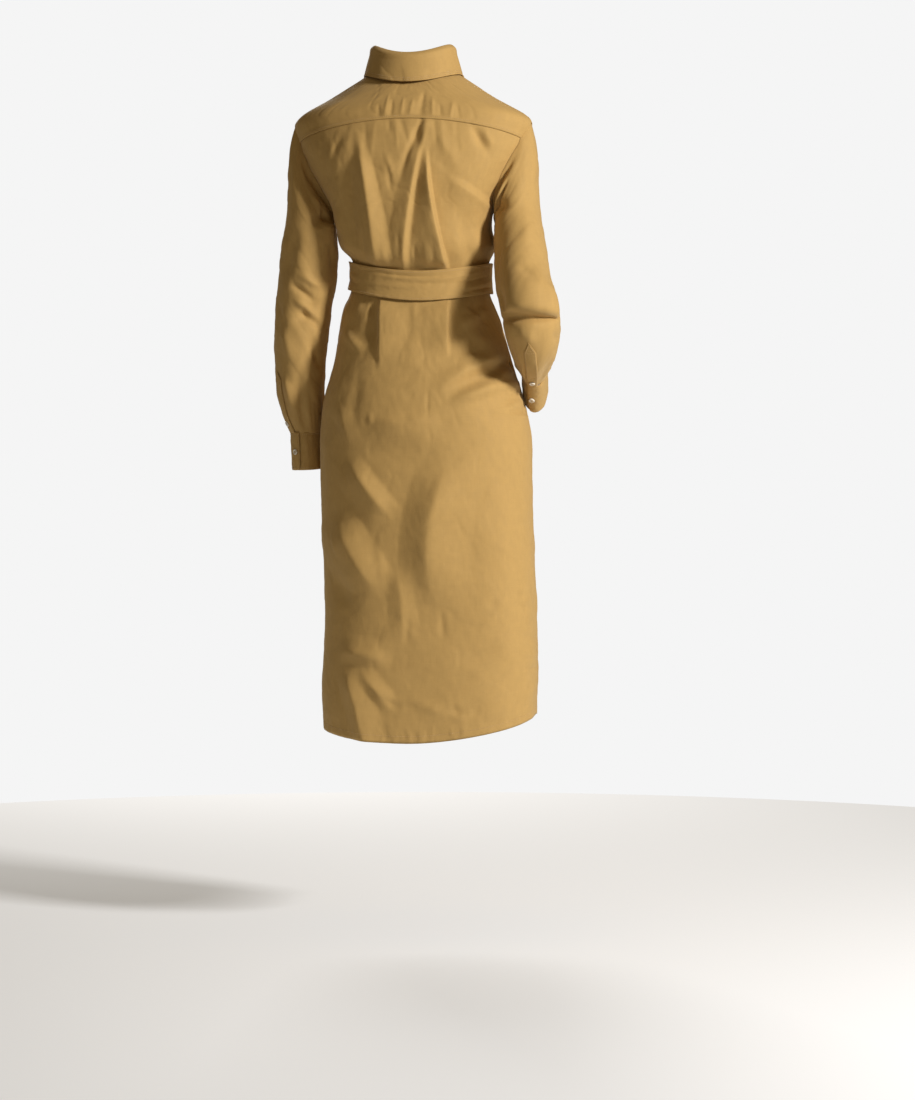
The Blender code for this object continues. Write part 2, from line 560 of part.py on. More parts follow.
def skirt_levels():
    """Levels of the panels' rows from the hem up to the underarm, closer together at the waist."""
    hem = np.linspace(HEM_LEVEL, VENT_LEVEL, 8)
    skirt = np.linspace(VENT_LEVEL, -0.46, 18)[1:]
    hip = (-0.437, -0.413, -0.392)
    waist = BELT_LEVEL + np.array((-0.040, -0.026, -0.009, 0.009, 0.026, 0.040))
    return np.concatenate((hem, skirt, hip, waist, (-0.275, -0.252, -0.229, ARMHOLE_LEVEL)))


def add_back(finish):
    """Back, one panel from the hem to the yoke seam, its columns closer together at the middle."""
    levels = np.concatenate((skirt_levels(), armhole_levels(YOKE_LEVEL)[1:]))
    edges = [side * (back_edge(levels, side) - SEAM_TURN) for side in (RIGHT, LEFT)]
    levels[-1] -= SEAM_GAP
    across = np.linspace(-1, 1, 35)
    plain = 90 * (across + 0.8 * across**3) / 1.8
    cloth("back", panel(levels, edges[0], edges[1], plain, 5), WALL, finish)


def front_levels():
    """Levels of the rows of the fronts and of the band over them, from the hem up to the neckline."""
    rise = np.linspace(CHEST_LEVEL, NECK_LEVEL, YOKE_ROWS + 1)[1:]
    return np.concatenate((skirt_levels(), armhole_levels(CHEST_LEVEL)[1:], rise))


def add_fronts(finish):
    """Two fronts that meet at centre front, each up to the yoke seam on the chest and the neckline."""
    levels = front_levels()
    middle = np.full(levels.shape, 180 - SEAM_TURN)
    outer = front_edge(levels, LEFT) + SEAM_TURN
    plain = np.linspace(90, 180, FRONT_COLUMNS + 1)
    cloth("front_left", panel(levels, outer, middle, plain, 3), WALL, finish)
    cloth("front_right", panel(levels, -middle, -outer, -plain[::-1], 3), WALL, finish)


def add_yoke(finish):
    """Yoke, from the back seam over both shoulders to the chest seams and up to the neckline."""
    right, left = -tip_turns(RIGHT)[::-1], tip_turns(LEFT)
    across = np.linspace(right[-1], left[0], 17)[1:-1]
    turns = np.concatenate((right, across, left))
    low = np.where(turns < 0, yoke_edge(-turns, RIGHT), yoke_edge(turns, LEFT))
    low = low + SEAM_GAP
    climb = np.linspace(0, 1, YOKE_ROWS + 1)[:, None]
    level = low + (NECK_LEVEL - low) * climb
    turn = turns * (1 + climb * (NECK_TURN / CHEST_TURN - 1) * np.abs(turns / CHEST_TURN) ** 4)
    edge = np.abs(turns) >= CHEST_TURN
    turn = turn - np.where(edge, np.sign(turns) * SEAM_TURN, 0)
    cloth("yoke", body(turn, level), WALL, finish)
    return turn[-1]


def add_front_band(finish):
    """The band that closes the fronts, laid over both from neck to hem."""
    levels = front_levels()
    levels[-1] -= SEAM_GAP
    half = np.degrees(BAND_WIDTH / 2 / spline(RINGS, levels)[:, 4])
    out = WALL + 2 * SEAM_GAP
    share = np.linspace(-1, 1, 3)
    turn = 180 + half[:, None] * share
    cloth("front_band", body(turn, np.broadcast_to(levels[:, None], turn.shape), out), WALL, finish)


def neck_line(turns, up=0.0, out=0.0):
    """Points of the neckline ring, raised, and moved out level from the middle of the neck."""
    ring = body_form(turns, np.full(turns.shape, NECK_LEVEL))
    away = np.stack((np.sin(np.radians(turns)), np.cos(np.radians(turns)), 0 * turns), axis=-1)
    return ring + away * np.asarray(out)[..., None] + np.array((0, 0, 1.0)) * np.asarray(up)[..., None]


def stand_edge(turns, climb):
    """The collar stand: it leans in by a quarter of its rise, and is lower towards the front."""
    rise = 0.0014 + STAND_HEIGHT * (1 - 0.12 * smooth((np.abs(turns) - 60) / 110)) * climb
    return neck_line(turns, rise, -0.22 * rise)


def rest_on_body(points, gap):
    """Moves points that are nearer than a gap to the body, or inside it, out along its normal."""
    turn, level = np.meshgrid(np.linspace(-180, 180, 181), np.linspace(-0.110, NECK_LEVEL, 58))
    form = body_form(turn, level).reshape(-1, 3)
    normal = surface_normal(body_form, turn, level, 0.5, 0.0015).reshape(-1, 3)
    flat = points.reshape(-1, 3)
    near = np.argmin(np.linalg.norm(flat[:, None] - form[None], axis=-1), axis=1)
    clear = np.sum((flat - form[near]) * normal[near], axis=-1)
    return (flat + normal[near] * np.maximum(gap - clear, 0)[:, None]).reshape(points.shape)


def add_collar(yoke_turns, finish):
    """Stand, along the whole neckline, and the fall that folds over it down to its two points."""
    front = np.linspace(NECK_TURN, 178, FRONT_COLUMNS + 1)[1:]
    turns = np.concatenate((-front[::-1], yoke_turns, front))
    climb = np.linspace(0, 1, 3)[:, None] + 0 * turns
    cloth("collar_stand", stand_edge(turns + 0 * climb, climb), BAND_WALL, finish)
    turns = np.linspace(-172, 172, 31)
    point = smooth((np.abs(turns) - 80) / 92)
    down = np.clip(-FALL_SECTION[:, 1:] / 0.0375, 0, 1)
    out = FALL_SECTION[:, :1] * (1 + 0.9 * point * down)
    up = FALL_SECTION[:, 1:] * (1 + 0.75 * point * down)
    turn = turns * (1 - 0.14 * point * down)
    away = np.stack((np.sin(np.radians(turn)), np.cos(np.radians(turn)), 0 * turn), axis=-1)
    points = stand_edge(turn, 1 + 0 * turn) + away * out[..., None]
    points[..., 2] += up
    cloth("collar_fall", rest_on_body(points, WALL + 0.0025), WALL, finish, flip=True)


def cuff(side, down, angle, out):
    """Outer face of the cuff at a share of its height and an angle, moved out."""
    top, end = SLEEVES[side][-1], np.array(CUFF_END[side])
    down, angle, out = np.broadcast_arrays(*(np.asarray(a, float) for a in (down, angle, out)))
    row = top + (end - top) * down[..., None]
    row = np.concatenate((row[..., :3], row[..., 3:] + out[..., None]), axis=-1)
    return oval(side, row, np.broadcast_to(end[:3] - top[:3], row[..., :3].shape), angle)


def add_cuffs(finish):
    """Cuffs: a band wrapped once round and lapped over itself, with a rounded lower corner."""
    for side, name in ((LEFT, "cuff_left"), (RIGHT, "cuff_right")):
        lap = BAND_WALL + 2 * SEAM_GAP
        angle = np.linspace(CUFF_EDGE[side] - 360 - CUFF_LAP, CUFF_EDGE[side], 23)
        out = lap * smooth((angle - angle[0] - 300) / 50)
        length = np.linalg.norm(np.array(CUFF_END[side][:3]) - SLEEVES[side][-1][:3])
        left_over = np.radians(angle[-1] - angle) * 0.034
        corner = CUFF_CORNER - np.sqrt(
            CUFF_CORNER**2 - np.clip(CUFF_CORNER - left_over, 0, CUFF_CORNER) ** 2
        )
        top = 2 * SEAM_GAP / length
        down = top + (1 - corner / length - top) * np.linspace(1, 0, 3)[:, None]
        points = cuff(side, down, angle + 0 * down, out + 0 * down)
        cloth(name, points, BAND_WALL, finish, flip=side > 0)


def add_plackets(finish):
    """Sleeve plackets: a narrow strip up from the cuff with a pointed top, laid on the sleeve."""
    for side, name in ((LEFT, "placket_left"), (RIGHT, "placket_right")):
        path = sleeve_path(side)
        total = np.linalg.norm(np.diff(path[:, 1:4], axis=0), axis=1).sum()
        down = np.linspace(0.985, 1 - PLACKET_LENGTH / total, 7)
        row = spline(path, down)
        half = np.degrees(PLACKET_WIDTH / 2 / (0.5 * row[:, 4] + 0.5 * row[:, 5]))
        half[-1] *= 0.15
        angle = PLACKET_ANGLE[side] + half[:, None] * np.linspace(-1, 1, 4)
        share = np.broadcast_to(down[:, None], angle.shape)
        along = HEAD_SHARE + (1 - HEAD_SHARE) * share
        normal = tube_normal(partial(sleeve_tube, side), share, angle, side)
        out = 0.0036 + sleeve_fold_depth(side, along, angle)
        points = sleeve_tube(side, share, angle) + normal * out[..., None]
        cloth(name, points, WALL, finish, flip=side > 0)


def add_belt(finish):
    """Belt round the waist, its knot at centre front and two tails that hang from under the knot."""
    turns = np.linspace(-180, 180, 37)[:-1]
    share = np.linspace(-0.5, 0.5, 4)[:, None]
    level = BELT_LEVEL + share * BELT_HEIGHT + 0 * turns
    form = body_form(turns + 0 * level, level)
    normal = surface_normal(body_form, turns + 0 * level, level, 0.5, 0.0015)
    cloth("belt", form + normal * (BELT_OUT + BAND_WALL), BAND_WALL, finish, closed=True)
    front = body_form(np.array(180.0), np.array(BELT_LEVEL))
    knot = front - np.array((0, BELT_OUT + BAND_WALL + KNOT[1] + 0.0004, 0.004))
    across = np.linspace(-1, 1, 9)[:, None]
    angle = np.radians(np.linspace(0, 360, 13)[:-1])
    lap = 1 - 0.16 * np.exp(-(((across - 0.45 * np.cos(angle) - 0.1) / 0.2) ** 2))
    deep = KNOT[1] * (1 - 0.62 * np.abs(across) ** 2.4) * lap
    high = KNOT[2] * (1 - 0.45 * np.abs(across) ** 2.2)
    x = KNOT[0] * across + 0.006 * np.cos(angle)
    y = -deep * np.sin(angle)
    z = high * np.cos(angle) * (1 - 0.12 * np.sin(angle) ** 2)
    closed_form("belt_knot", knot + np.stack((x, y, z), axis=-1), finish)
    for name, swing, low in (("belt_tail_1", -1.0, -0.700), ("belt_tail_2", 1.0, -0.665)):
        levels = np.linspace(low, -0.3700, 11)
        down = (levels[-1] - levels) / (levels[-1] - low)
        middle = 180 + swing * (6.5 + 7.0 * smooth(down / 0.3) + 3.0 * down)
        half = np.degrees(0.021 / spline(RINGS, levels)[:, 4]) * (0.52 + 0.48 * smooth(down / 0.3))
        turn = middle[:, None] + half[:, None] * np.linspace(-1, 1, 4)
        ripple = np.cos(np.linspace(-3, 3, 4) + down[:, None])
        out = 0.012 + 0.002 * np.sin(5 * down)[:, None] + 0.0015 * ripple
        cloth(name, body(turn, np.broadcast_to(levels[:, None], turn.shape), out), BAND_WALL, finish)


def add_pockets(finish):
    """Pocket bags: a doubled layer inside each front, open towards the side seam."""
    for side, name in ((LEFT, "pocket_left"), (RIGHT, "pocket_right")):
        levels = np.linspace(-0.66, -0.425, 6)
        share = np.linspace(0, 1, 9)
        taper = 1 - 0.5 * bump(levels, -0.66, 0.05)
        depth = 90 + 1.5 + 34 * np.sin(np.pi * share)[None] * taper[:, None]
        slack = 0.004 + 0.003 * bump(levels, -0.545, 0.13)
        spread = 0.0032 + slack[:, None] * smooth(share * 2.4 - 0.7)
        turn = side * depth
        level = np.broadcast_to(levels[:, None], turn.shape)
        points = body(turn, level, -WALL - spread)
        cloth(name, points, 0.001, finish, flip=side > 0)


def add_button(name, place, facing, finish):
    """A flat round button, its back at a place and its face the way it faces."""
    mesh = bpy.data.meshes.new(name)
    shape = bmesh.new()
    bmesh.ops.create_cone(
        shape,
        cap_ends=True,
        segments=8,
        radius1=BUTTON_RADIUS,
        radius2=BUTTON_RADIUS,
        depth=BUTTON_DEPTH,
    )
    shape.to_mesh(mesh)
    shape.free()
    made = add_object(name, mesh, finish)
    facing = Vector(facing).normalized()
    made.rotation_mode = "QUATERNION"
    made.rotation_quaternion = facing.to_track_quat("Z", "Y")
    made.location = Vector(place) + facing * (BUTTON_DEPTH / 2)


def add_buttons(finish):
    """Front buttons down the band, and one button on each cuff and each sleeve placket."""
    out = WALL + 2 * SEAM_GAP + 0.0006
    levels = np.concatenate((np.linspace(-0.012, -0.262, 4), np.linspace(-0.392, -0.872, 5)))
    for number, level in enumerate(levels, 1):
        turn = np.array(180.0)
        normal = surface_normal(body_form, turn, level, 0.5, 0.0015)
        place = body(turn, level, out)
        add_button(f"button_front_{number}", place, normal, finish)
    for side, name in ((LEFT, "left"), (RIGHT, "right")):
        middle, angle = np.array(0.5), np.array(CUFF_EDGE[side] - 16.0)
        lapped = partial(cuff, side, out=BAND_WALL + 2 * SEAM_GAP)
        normal = tube_normal(lapped, middle, angle, side)
        add_button(f"button_cuff_{name}", lapped(middle, angle) + normal * 0.0005, normal, finish)
        share, angle = np.array(0.93), np.array(PLACKET_ANGLE[side])
        normal = tube_normal(partial(sleeve_tube, side), share, angle, side)
        rise = 0.0042 + float(sleeve_fold_depth(side, HEAD_SHARE + (1 - HEAD_SHARE) * share, angle))
        place = sleeve_tube(side, share, angle) + normal * rise
        add_button(f"button_placket_{name}", place, normal, finish)


def build():
    for old in list(bpy.data.objects):
        bpy.data.objects.remove(old, do_unlink=True)
    cotton = material("cotton", (0.47, 0.30, 0.105), 0.85)
    pearl = material("pearl", (0.80, 0.74, 0.62), 0.35)
    add_back(cotton)
    add_fronts(cotton)
    yoke_turns = add_yoke(cotton)
    add_front_band(cotton)
    add_collar(yoke_turns, cotton)
    for side, name in ((LEFT, "sleeve_left"), (RIGHT, "sleeve_right")):
        points = sleeve(side, SLEEVE_ROWS[side])
        cloth(name, points, WALL, cotton, closed=True, flip=side < 0)
    add_cuffs(cotton)
    add_plackets(cotton)
    add_belt(cotton)
    add_pockets(cotton)
    add_buttons(pearl)


build()
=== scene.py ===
"""A belted shirt dress of plain-woven cotton in the form it has when worn, hollow and open-ended.

The script follows the dress as it is cut and sewn: back, yoke, fronts, front band, pockets, collar,
sleeves, cuffs, plackets, belt, buttons and sewing, and last the studio. Metres, +Z up, front to -Y.
"""

import bmesh
import bpy
import numpy as np
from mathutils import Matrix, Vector


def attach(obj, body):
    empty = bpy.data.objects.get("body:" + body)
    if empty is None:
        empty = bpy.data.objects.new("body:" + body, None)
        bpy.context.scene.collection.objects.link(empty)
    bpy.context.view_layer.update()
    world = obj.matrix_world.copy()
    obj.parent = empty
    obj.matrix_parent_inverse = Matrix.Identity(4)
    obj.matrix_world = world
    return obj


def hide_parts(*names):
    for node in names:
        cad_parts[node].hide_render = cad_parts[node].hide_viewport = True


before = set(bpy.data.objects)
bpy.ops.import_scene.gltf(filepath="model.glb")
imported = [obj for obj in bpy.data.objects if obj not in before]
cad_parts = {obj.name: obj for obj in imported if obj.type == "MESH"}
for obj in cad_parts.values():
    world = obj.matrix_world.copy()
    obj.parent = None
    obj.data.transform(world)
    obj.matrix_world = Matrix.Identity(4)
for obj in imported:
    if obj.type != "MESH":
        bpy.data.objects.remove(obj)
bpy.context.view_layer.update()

# ---- Back --------------------------------------------------------------------------------------
# One panel of cotton from the yoke seam to the hem. Its fullness is gathered into the yoke and by
# the belt, and below that it hangs in soft folds to a hem turned up once, open at both side vents.

LEFT, RIGHT = 1.0, -1.0
SIDES = ((LEFT, "left"), (RIGHT, "right"))
UP = np.array((0, 0, 1.0))
HEM, VENT_TOP, BELT, UNDERARM, YOKE_SEAM, NECKLINE = -1.082, -0.915, -0.335, -0.205, -0.062, 0.005
SHOULDER_TIP, CHEST_SEAM = -0.042, -0.054
CHEST_TURN, NECK_TURN = 107.0, 113.0
MEAN_RADIUS = 0.15  # of the body, for the way round it

# Rings of the body. level: height at centre back; side_z, front_z: height at the side seams and at
# centre front; tilt: extra height on the left; half, centre: half width and its middle; back and
# front: depth each way; full: swell of the corners.
BODY_RINGS = np.array((
    # level, side_z, front_z, tilt, half, centre, back, front, full
    (-1.082, -1.052, -1.072, -0.010, 0.1775, -0.0283, 0.122, 0.118, 0.10),
    (-1.000, -0.986, -0.995, -0.005, 0.1800, -0.0278, 0.124, 0.118, 0.09),
    (-0.910, -0.908, -0.910, 0.000, 0.1775, -0.0300, 0.125, 0.118, 0.08),
    (-0.800, -0.800, -0.800, 0.000, 0.1765, -0.0270, 0.127, 0.116, 0.07),
    (-0.687, -0.687, -0.687, 0.000, 0.1765, -0.0225, 0.131, 0.115, 0.06),
    (-0.570, -0.570, -0.570, 0.000, 0.1745, -0.0205, 0.133, 0.114, 0.05),
    (-0.520, -0.518, -0.518, 0.000, 0.1660, -0.0175, 0.127, 0.112, 0.05),
    (-0.470, -0.463, -0.463, 0.000, 0.1500, -0.0167, 0.115, 0.108, 0.05),
    (-0.420, -0.408, -0.406, 0.000, 0.1370, -0.0137, 0.101, 0.102, 0.05),
    (-0.385, -0.369, -0.364, 0.002, 0.1265, -0.0115, 0.092, 0.096, 0.05),
    (-0.361, -0.342, -0.336, 0.004, 0.1155, -0.0120, 0.084, 0.088, 0.04),
    (-0.335, -0.316, -0.310, 0.004, 0.1125, -0.0125, 0.081, 0.086, 0.04),
    (-0.309, -0.290, -0.284, 0.003, 0.1145, -0.0120, 0.083, 0.088, 0.04),
    (-0.285, -0.268, -0.264, 0.001, 0.1285, -0.0085, 0.097, 0.103, 0.05),
    (-0.250, -0.237, -0.236, 0.000, 0.1290, -0.0020, 0.105, 0.113, 0.06),
    (-0.205, -0.205, -0.205, 0.000, 0.1340, 0.0000, 0.108, 0.120, 0.07),
    (-0.150, -0.165, -0.165, 0.000, 0.1560, 0.0000, 0.109, 0.117, 0.07),
    (-0.105, -0.128, -0.138, 0.000, 0.1760, 0.0000, 0.107, 0.111, 0.06),
    (-0.062, -0.092, -0.118, 0.000, 0.1900, 0.0000, 0.100, 0.102, 0.05),
    (-0.042, -0.058, -0.106, 0.000, 0.1950, 0.0000, 0.093, 0.094, 0.04),
    (-0.020, -0.021, -0.092, 0.000, 0.1360, 0.0000, 0.081, 0.082, 0.02),
    (0.005, 0.024, -0.075, 0.000, 0.0660, 0.0000, 0.062, 0.066, 0.00),
))

# Folds of the body, in millimetres: a line from (x0, z0) to (x1, z1). bow: sideways swing of its
# middle; wide0, wide1: half width at each end; rise: out or in; open0, open1: 1 where it runs on
# at full depth; step: 0 for a trough or ridge, 1 or -1 for cloth that lies high on the +x or -x
# side of the line and drops steeply at it, 3 for a sharp crest. The small ones are gathers on both
# sides of the yoke seam, fullness held by the belt, drag lines at the hips, and hem ripples.
BACK_FOLDS = (
    # x0, z0, x1, z1, bow, wide0, wide1, rise, open0, open1, step
    (-24, -72, -15, -120, 0, 8, 8, -5, 0, 0, 0),
    (96, -72, 88, -155, 0, 9, 10, 4.5, 0, 0, 1),
    (-108, -72, -134, -124, 0, 8, 9, -4.5, 0, 0, 0),
    (115, -114, 108, -261, 0, 12, 13, 4, 0, 0, 0),
    (-93, -204, -106, -304, 0, 13, 14, -5, 0, 1, 0),
    (65, -350, 62, -434, 0, 10, 11, -5, 1, 0, 0),
    (-116, -350, -139, -434, 0, 18, 20, -8, 1, 0, 0),
    (111, -398, 65, -447, 4, 8, 9, 5.5, 0, 0, 0),
    (-169, -457, -44, -518, 0, 10, 12, -6, 1, 0, 0),
    (-175, -496, -57, -526, 0, 10, 12, 4.5, 1, 0, 0),
    (115, -598, -77, -614, 0, 20, 18, -5, 0, 0, 0),
    (124, -784, 88, -890, 0, 16, 18, -5.5, 0, 0, 0),
    (-29, -14, -24, -60, 0, 2.1, 7, -2.2, 0, 1, 0),
    (-12, -28, -7, -60, 0, 2.1, 6, 2.1, 0, 1, 3),
    (4, -24, 7, -60, 0, 1.5, 4, 1.8, 0, 1, 3),
    (22, -28, 24, -60, 0, 1.5, 4, -1.3, 0, 1, 0),
    (29, -19, 34, -60, 0, 1.3, 4, 1.8, 0, 1, 3),
    (45, -36, 44, -60, 0, 1.3, 4, -1, 0, 1, 0),
    (-42, -23, -44, -60, 0, 1.7, 4, 1.8, 0, 1, 3),
    (-55, -37, -58, -62, 0, 1.3, 4, -1, 0, 1, 0),
    (-77, -31, -73, -62, 0, 1.3, 3.5, 1.8, 0, 1, 3),
    (-83, -37, -87, -62, 0, 1.3, 3.5, -0.8, 0, 1, 0),
    (27, -67, 25, -87, 0, 3.5, 2.4, -1.1, 1, 0, 0),
    (7, -67, -8, -115, 0, 5, 3, -1.2, 1, 0, 0),
    (16, -67, 11, -131, 0, 5, 3.6, 1.2, 1, 0, 3),
    (-35, -67, -27, -126, 0, 7, 4.2, 2.3, 1, 0, 3),
    (-47, -67, -54, -122, 0, 4, 3, -1, 1, 0, 0),
    (-58, -67, -65, -131, 0, 5, 3.6, 1.2, 1, 0, 3),
    (50, -68, 59, -152, 0, 6, 4.8, 1.2, 1, 0, 3),
    (67, -70, 64, -129, 0, 4, 3, -0.6, 1, 0, 0),
    (93, -73, 100, -129, 0, 5, 4.8, -1.5, 1, 0, 1),
    (-82, -67, -88, -131, 0, 4, 3.6, -0.5, 1, 0, 0),
    (-123, -78, -143, -114, 0, 5, 5, 2.2, 0, 0, 0),
    (101, -81, 124, -130, 0, 6, 6, -2.2, 0, 0, 0),
    (118, -101, 134, -139, 0, 5, 5, 1.8, 0, 0, 0),
    (35, -114, 16, -166, 0, 5, 5, 1.4, 0, 0, 0),
    (29, -130, 22, -196, 0, 4, 5, -1.6, 0, 0, 0),
    (-16, -261, -17, -307, 0, 4, 5, -1.6, 0, 1, 0),
    (-32, -255, -34, -307, 0, 4, 5, 1.2, 0, 1, 0),
    (-45, -261, -45, -307, 0, 3.5, 4.5, -1.4, 0, 1, 0),
    (11, -237, 9, -305, 0, 4, 5, -1.4, 0, 1, 0),
    (35, -253, 34, -304, 0, 6, 7, 1.6, 0, 1, 0),
    (72, -245, 65, -304, 0, 6, 7, -1.8, 0, 1, 0),
    (-82, -237, -90, -304, 0, 8, 9, 1.4, 0, 1, 0),
    (-119, -220, -133, -297, 0, 7, 9, -3, 0, 1, 0),
    (-14, -359, -12, -490, 0, 7, 10, 1.4, 1, 0, 0),
    (-82, -366, -139, -395, 0, 4, 4, 2, 0, 0, 0),
    (-93, -359, -152, -412, -3, 5, 5, -2.2, 0, 0, 0),
    (-106, -392, -152, -403, 0, 4, 4, 1.6, 0, 0, 0),
    (-123, -364, -152, -376, 0, 4, 4, -1.8, 0, 1, 0),
    (-100, -408, -146, -433, 0, 8, 9, 1.8, 0, 0, 0),
    (-67, -452, -156, -467, -4, 6, 7, 3.4, 0, 0, 0),
    (-171, -454, -123, -500, 3, 4, 6, -3, 1, 0, 0),
    (-164, -477, -106, -516, 0, 5, 6, 2.4, 1, 0, 0),
    (-169, -545, -119, -542, 0, 3, 3, 1.2, 0, 0, 0),
    (-40, -498, -40, -562, 0, 2.6, 3, -0.9, 0, 0, 0),
    (-21, -513, 2, -519, 0, 6, 6, -0.9, 0, 0, 0),
    (-57, -528, -106, -500, 0, 7, 8, -1.8, 0, 0, 0),
    (57, -542, 52, -565, 0, 5, 5, 1.6, 0, 0, 0),
    (100, -408, 119, -563, 0, 9, 10, 2, 0, 0, 3),
    (75, -465, 88, -572, 0, 8, 10, -2, 0, 0, 0),
    (45, -732, 29, -833, 0, 7, 8, 1.4, 0, 0, 0),
    (119, -732, 108, -784, 0, 6, 7, 2.2, 0, 0, 3),
    (119, -825, 55, -849, 0, 10, 10, -2.6, 0, 0, 3),
    (49, -1003, 2, -1026, 0, 5, 6, -2.2, 0, 0, 0),
    (6, -1023, -40, -1018, 0, 4, 4, -1.4, 0, 0, 0),
    (-60, -858, -67, -923, 0, 5, 6, -1.6, 0, 0, 0),
    (-7, -866, -4, -931, 0, 6, 7, -1.6, 0, 0, 0),
    (-73, -1019, -96, -1036, 0, 7, 7, -2.4, 0, 0, 0),
    (-67, -1039, -110, -1042, 0, 5, 5, 1.8, 0, 0, 0),
    (-106, -1036, -129, -1024, 0, 5, 5, -1.4, 0, 0, 0),
    (-156, -784, -189, -797, 0, 8, 9, -1.4, 0, 0, 0),
    (-133, -862, -156, -849, 0, 6, 6, -1.4, 0, 0, 0),
    (-179, -840, -192, -823, 0, 5, 5, 1.4, 0, 0, 0),
    (-182, -856, -199, -849, 0, 4, 4, 1.6, 0, 1, 0),
    (-116, -895, -162, -872, 0, 8, 8, 1.4, 0, 0, 0),
    (-175, -719, -205, -729, 0, 7, 7, -1.6, 0, 1, 0),
    (-83, -951, -169, -928, 0, 12, 12, -2, 0, 0, 0),
    (-189, -905, -205, -915, 0, 5, 5, -2, 0, 1, 0),
    (-185, -934, -205, -941, 0, 4, 4, 1.6, 0, 1, 0),
    (-187, -961, -207, -964, 0, 4, 4, -1.6, 0, 1, 0),
    (88, -114, 85, -286, 0, 10, 12, -2.4, 0, 0, 0),
    (55, -364, 54, -441, 0, 6, 8, -3, 1, 0, 0),
    (-27, -67, 12, -173, 2, 3.5, 6, -3, 1, 0, 0),
    (72, -366, 65, -398, 0, 7, 8, 1, 0, 0, 0),
    (85, -385, 98, -418, 0, 6, 7, -0.9, 0, 0, 0),
    (-40, -369, -44, -444, 0, 8, 10, -0.9, 0, 0, 0),
    (65, -402, 52, -451, 0, 8, 8, -1, 0, 0, 0),
    (-184, -506, -156, -537, 0, 4, 5, -3.4, 0, 0, 0),
    (-190, -519, -152, -545, 0, 4, 5, 3, 0, 0, 0),
    (-199, -539, -123, -552, 1, 4, 4, -3.4, 1, 0, 0),
    (-195, -549, -133, -541, 0, 3.5, 4, 2.6, 1, 0, 0),
    (-106, -72, -143, -140, -2, 4, 7, -1.7, 1, 0, 0),
)
FRONT_FOLDS = (
    (88, -185, 70, -300, 4, 12, 16, -7, 0, 1, 0),
    (54, -205, 44, -300, 0, 10, 13, 6, 0, 1, 0),
    (-60, -195, -55, -300, 0, 12, 15, -7, 0, 1, 0),
    (-95, -180, -88, -300, 3, 12, 16, 6, 0, 1, 0),
    (105, -110, 120, -190, 0, 10, 14, -5, 0, 0, 0),
    (-105, -110, -118, -190, 0, 10, 14, -5, 0, 0, 0),
    (64, -345, 74, -470, 0, 11, 18, -7, 1, 0, 0),
    (-57, -345, -68, -460, 0, 11, 18, -7, 1, 0, 0),
    (-95, -345, -125, -450, 0, 11, 17, 6, 1, 0, 0),
    (-150, -520, -60, -600, 8, 14, 19, -6, 1, 0, 0),
    (120, -620, 40, -760, 0, 22, 26, -6.5, 0, 0, 0),
    (-125, -700, -60, -880, 0, 22, 28, 6.5, 0, 0, 0),
    (110, -900, 70, -1075, 4, 16, 20, 6.5, 0, 1, 0),
    (80, -115, 82, -150, 0, 4, 5, -2, 1, 0, 0),
    (71, -117, 70, -142, 0, 4, 5, 1.6, 1, 0, 0),
    (62, -118, 61, -160, 0, 4, 6, -2.2, 1, 0, 0),
    (-66, -117, -67, -152, 0, 4, 5, -2, 1, 0, 0),
    (-75, -116, -77, -140, 0, 4, 5, 1.8, 1, 0, 0),
    (-84, -114, -83, -160, 0, 4, 6, -1.8, 1, 0, 0),
    (112, -150, 80, -175, 3, 6, 6, -3, 0, 0, 0),
    (-114, -150, -86, -180, -3, 6, 6, -3, 0, 0, 0),
    (70, -225, 64, -290, 0, 4, 5, 2.6, 0, 1, 1),
    (34, -215, 33, -290, 0, 4, 5, -2.4, 0, 1, 0),
    (-33, -220, -31, -290, 0, 4, 5, 2.2, 0, 1, -1),
    (-74, -215, -70, -290, 0, 5, 6, 2.8, 0, 1, -1),
    (46, -365, 50, -440, 0, 4, 6, 3.4, 1, 0, 1),
    (86, -362, 94, -430, 0, 5, 7, 2.8, 1, 0, 0),
    (-36, -365, -40, -450, 0, 4, 6, 3.2, 1, 0, -1),
    (-80, -362, -90, -440, 0, 5, 7, -3, 1, 0, 0),
    (140, -470, 70, -500, 4, 6, 7, -3.2, 0, 0, 0),
    (-150, -480, -80, -520, 0, 6, 7, 3, 0, 0, 0),
    (130, -560, 50, -600, 0, 8, 8, -3, 0, 0, 0),
    (-60, -620, -120, -660, 4, 8, 8, -3.2, 0, 0, 0),
    (95, -660, 60, -760, 0, 8, 9, 3, 0, 0, 0),
    (130, -800, 70, -830, 0, 8, 8, -3, 0, 0, 0),
    (-140, -820, -70, -850, 0, 8, 9, 2.8, 0, 0, 0),
    (-50, -900, -90, -1000, 4, 7, 8, -2.6, 0, 0, 0),
    (50, -950, 80, -1060, 0, 6, 7, 2.6, 0, 1, 0),
    (-110, -960, -120, -1060, 0, 6, 7, 2.4, 0, 1, 0),
)

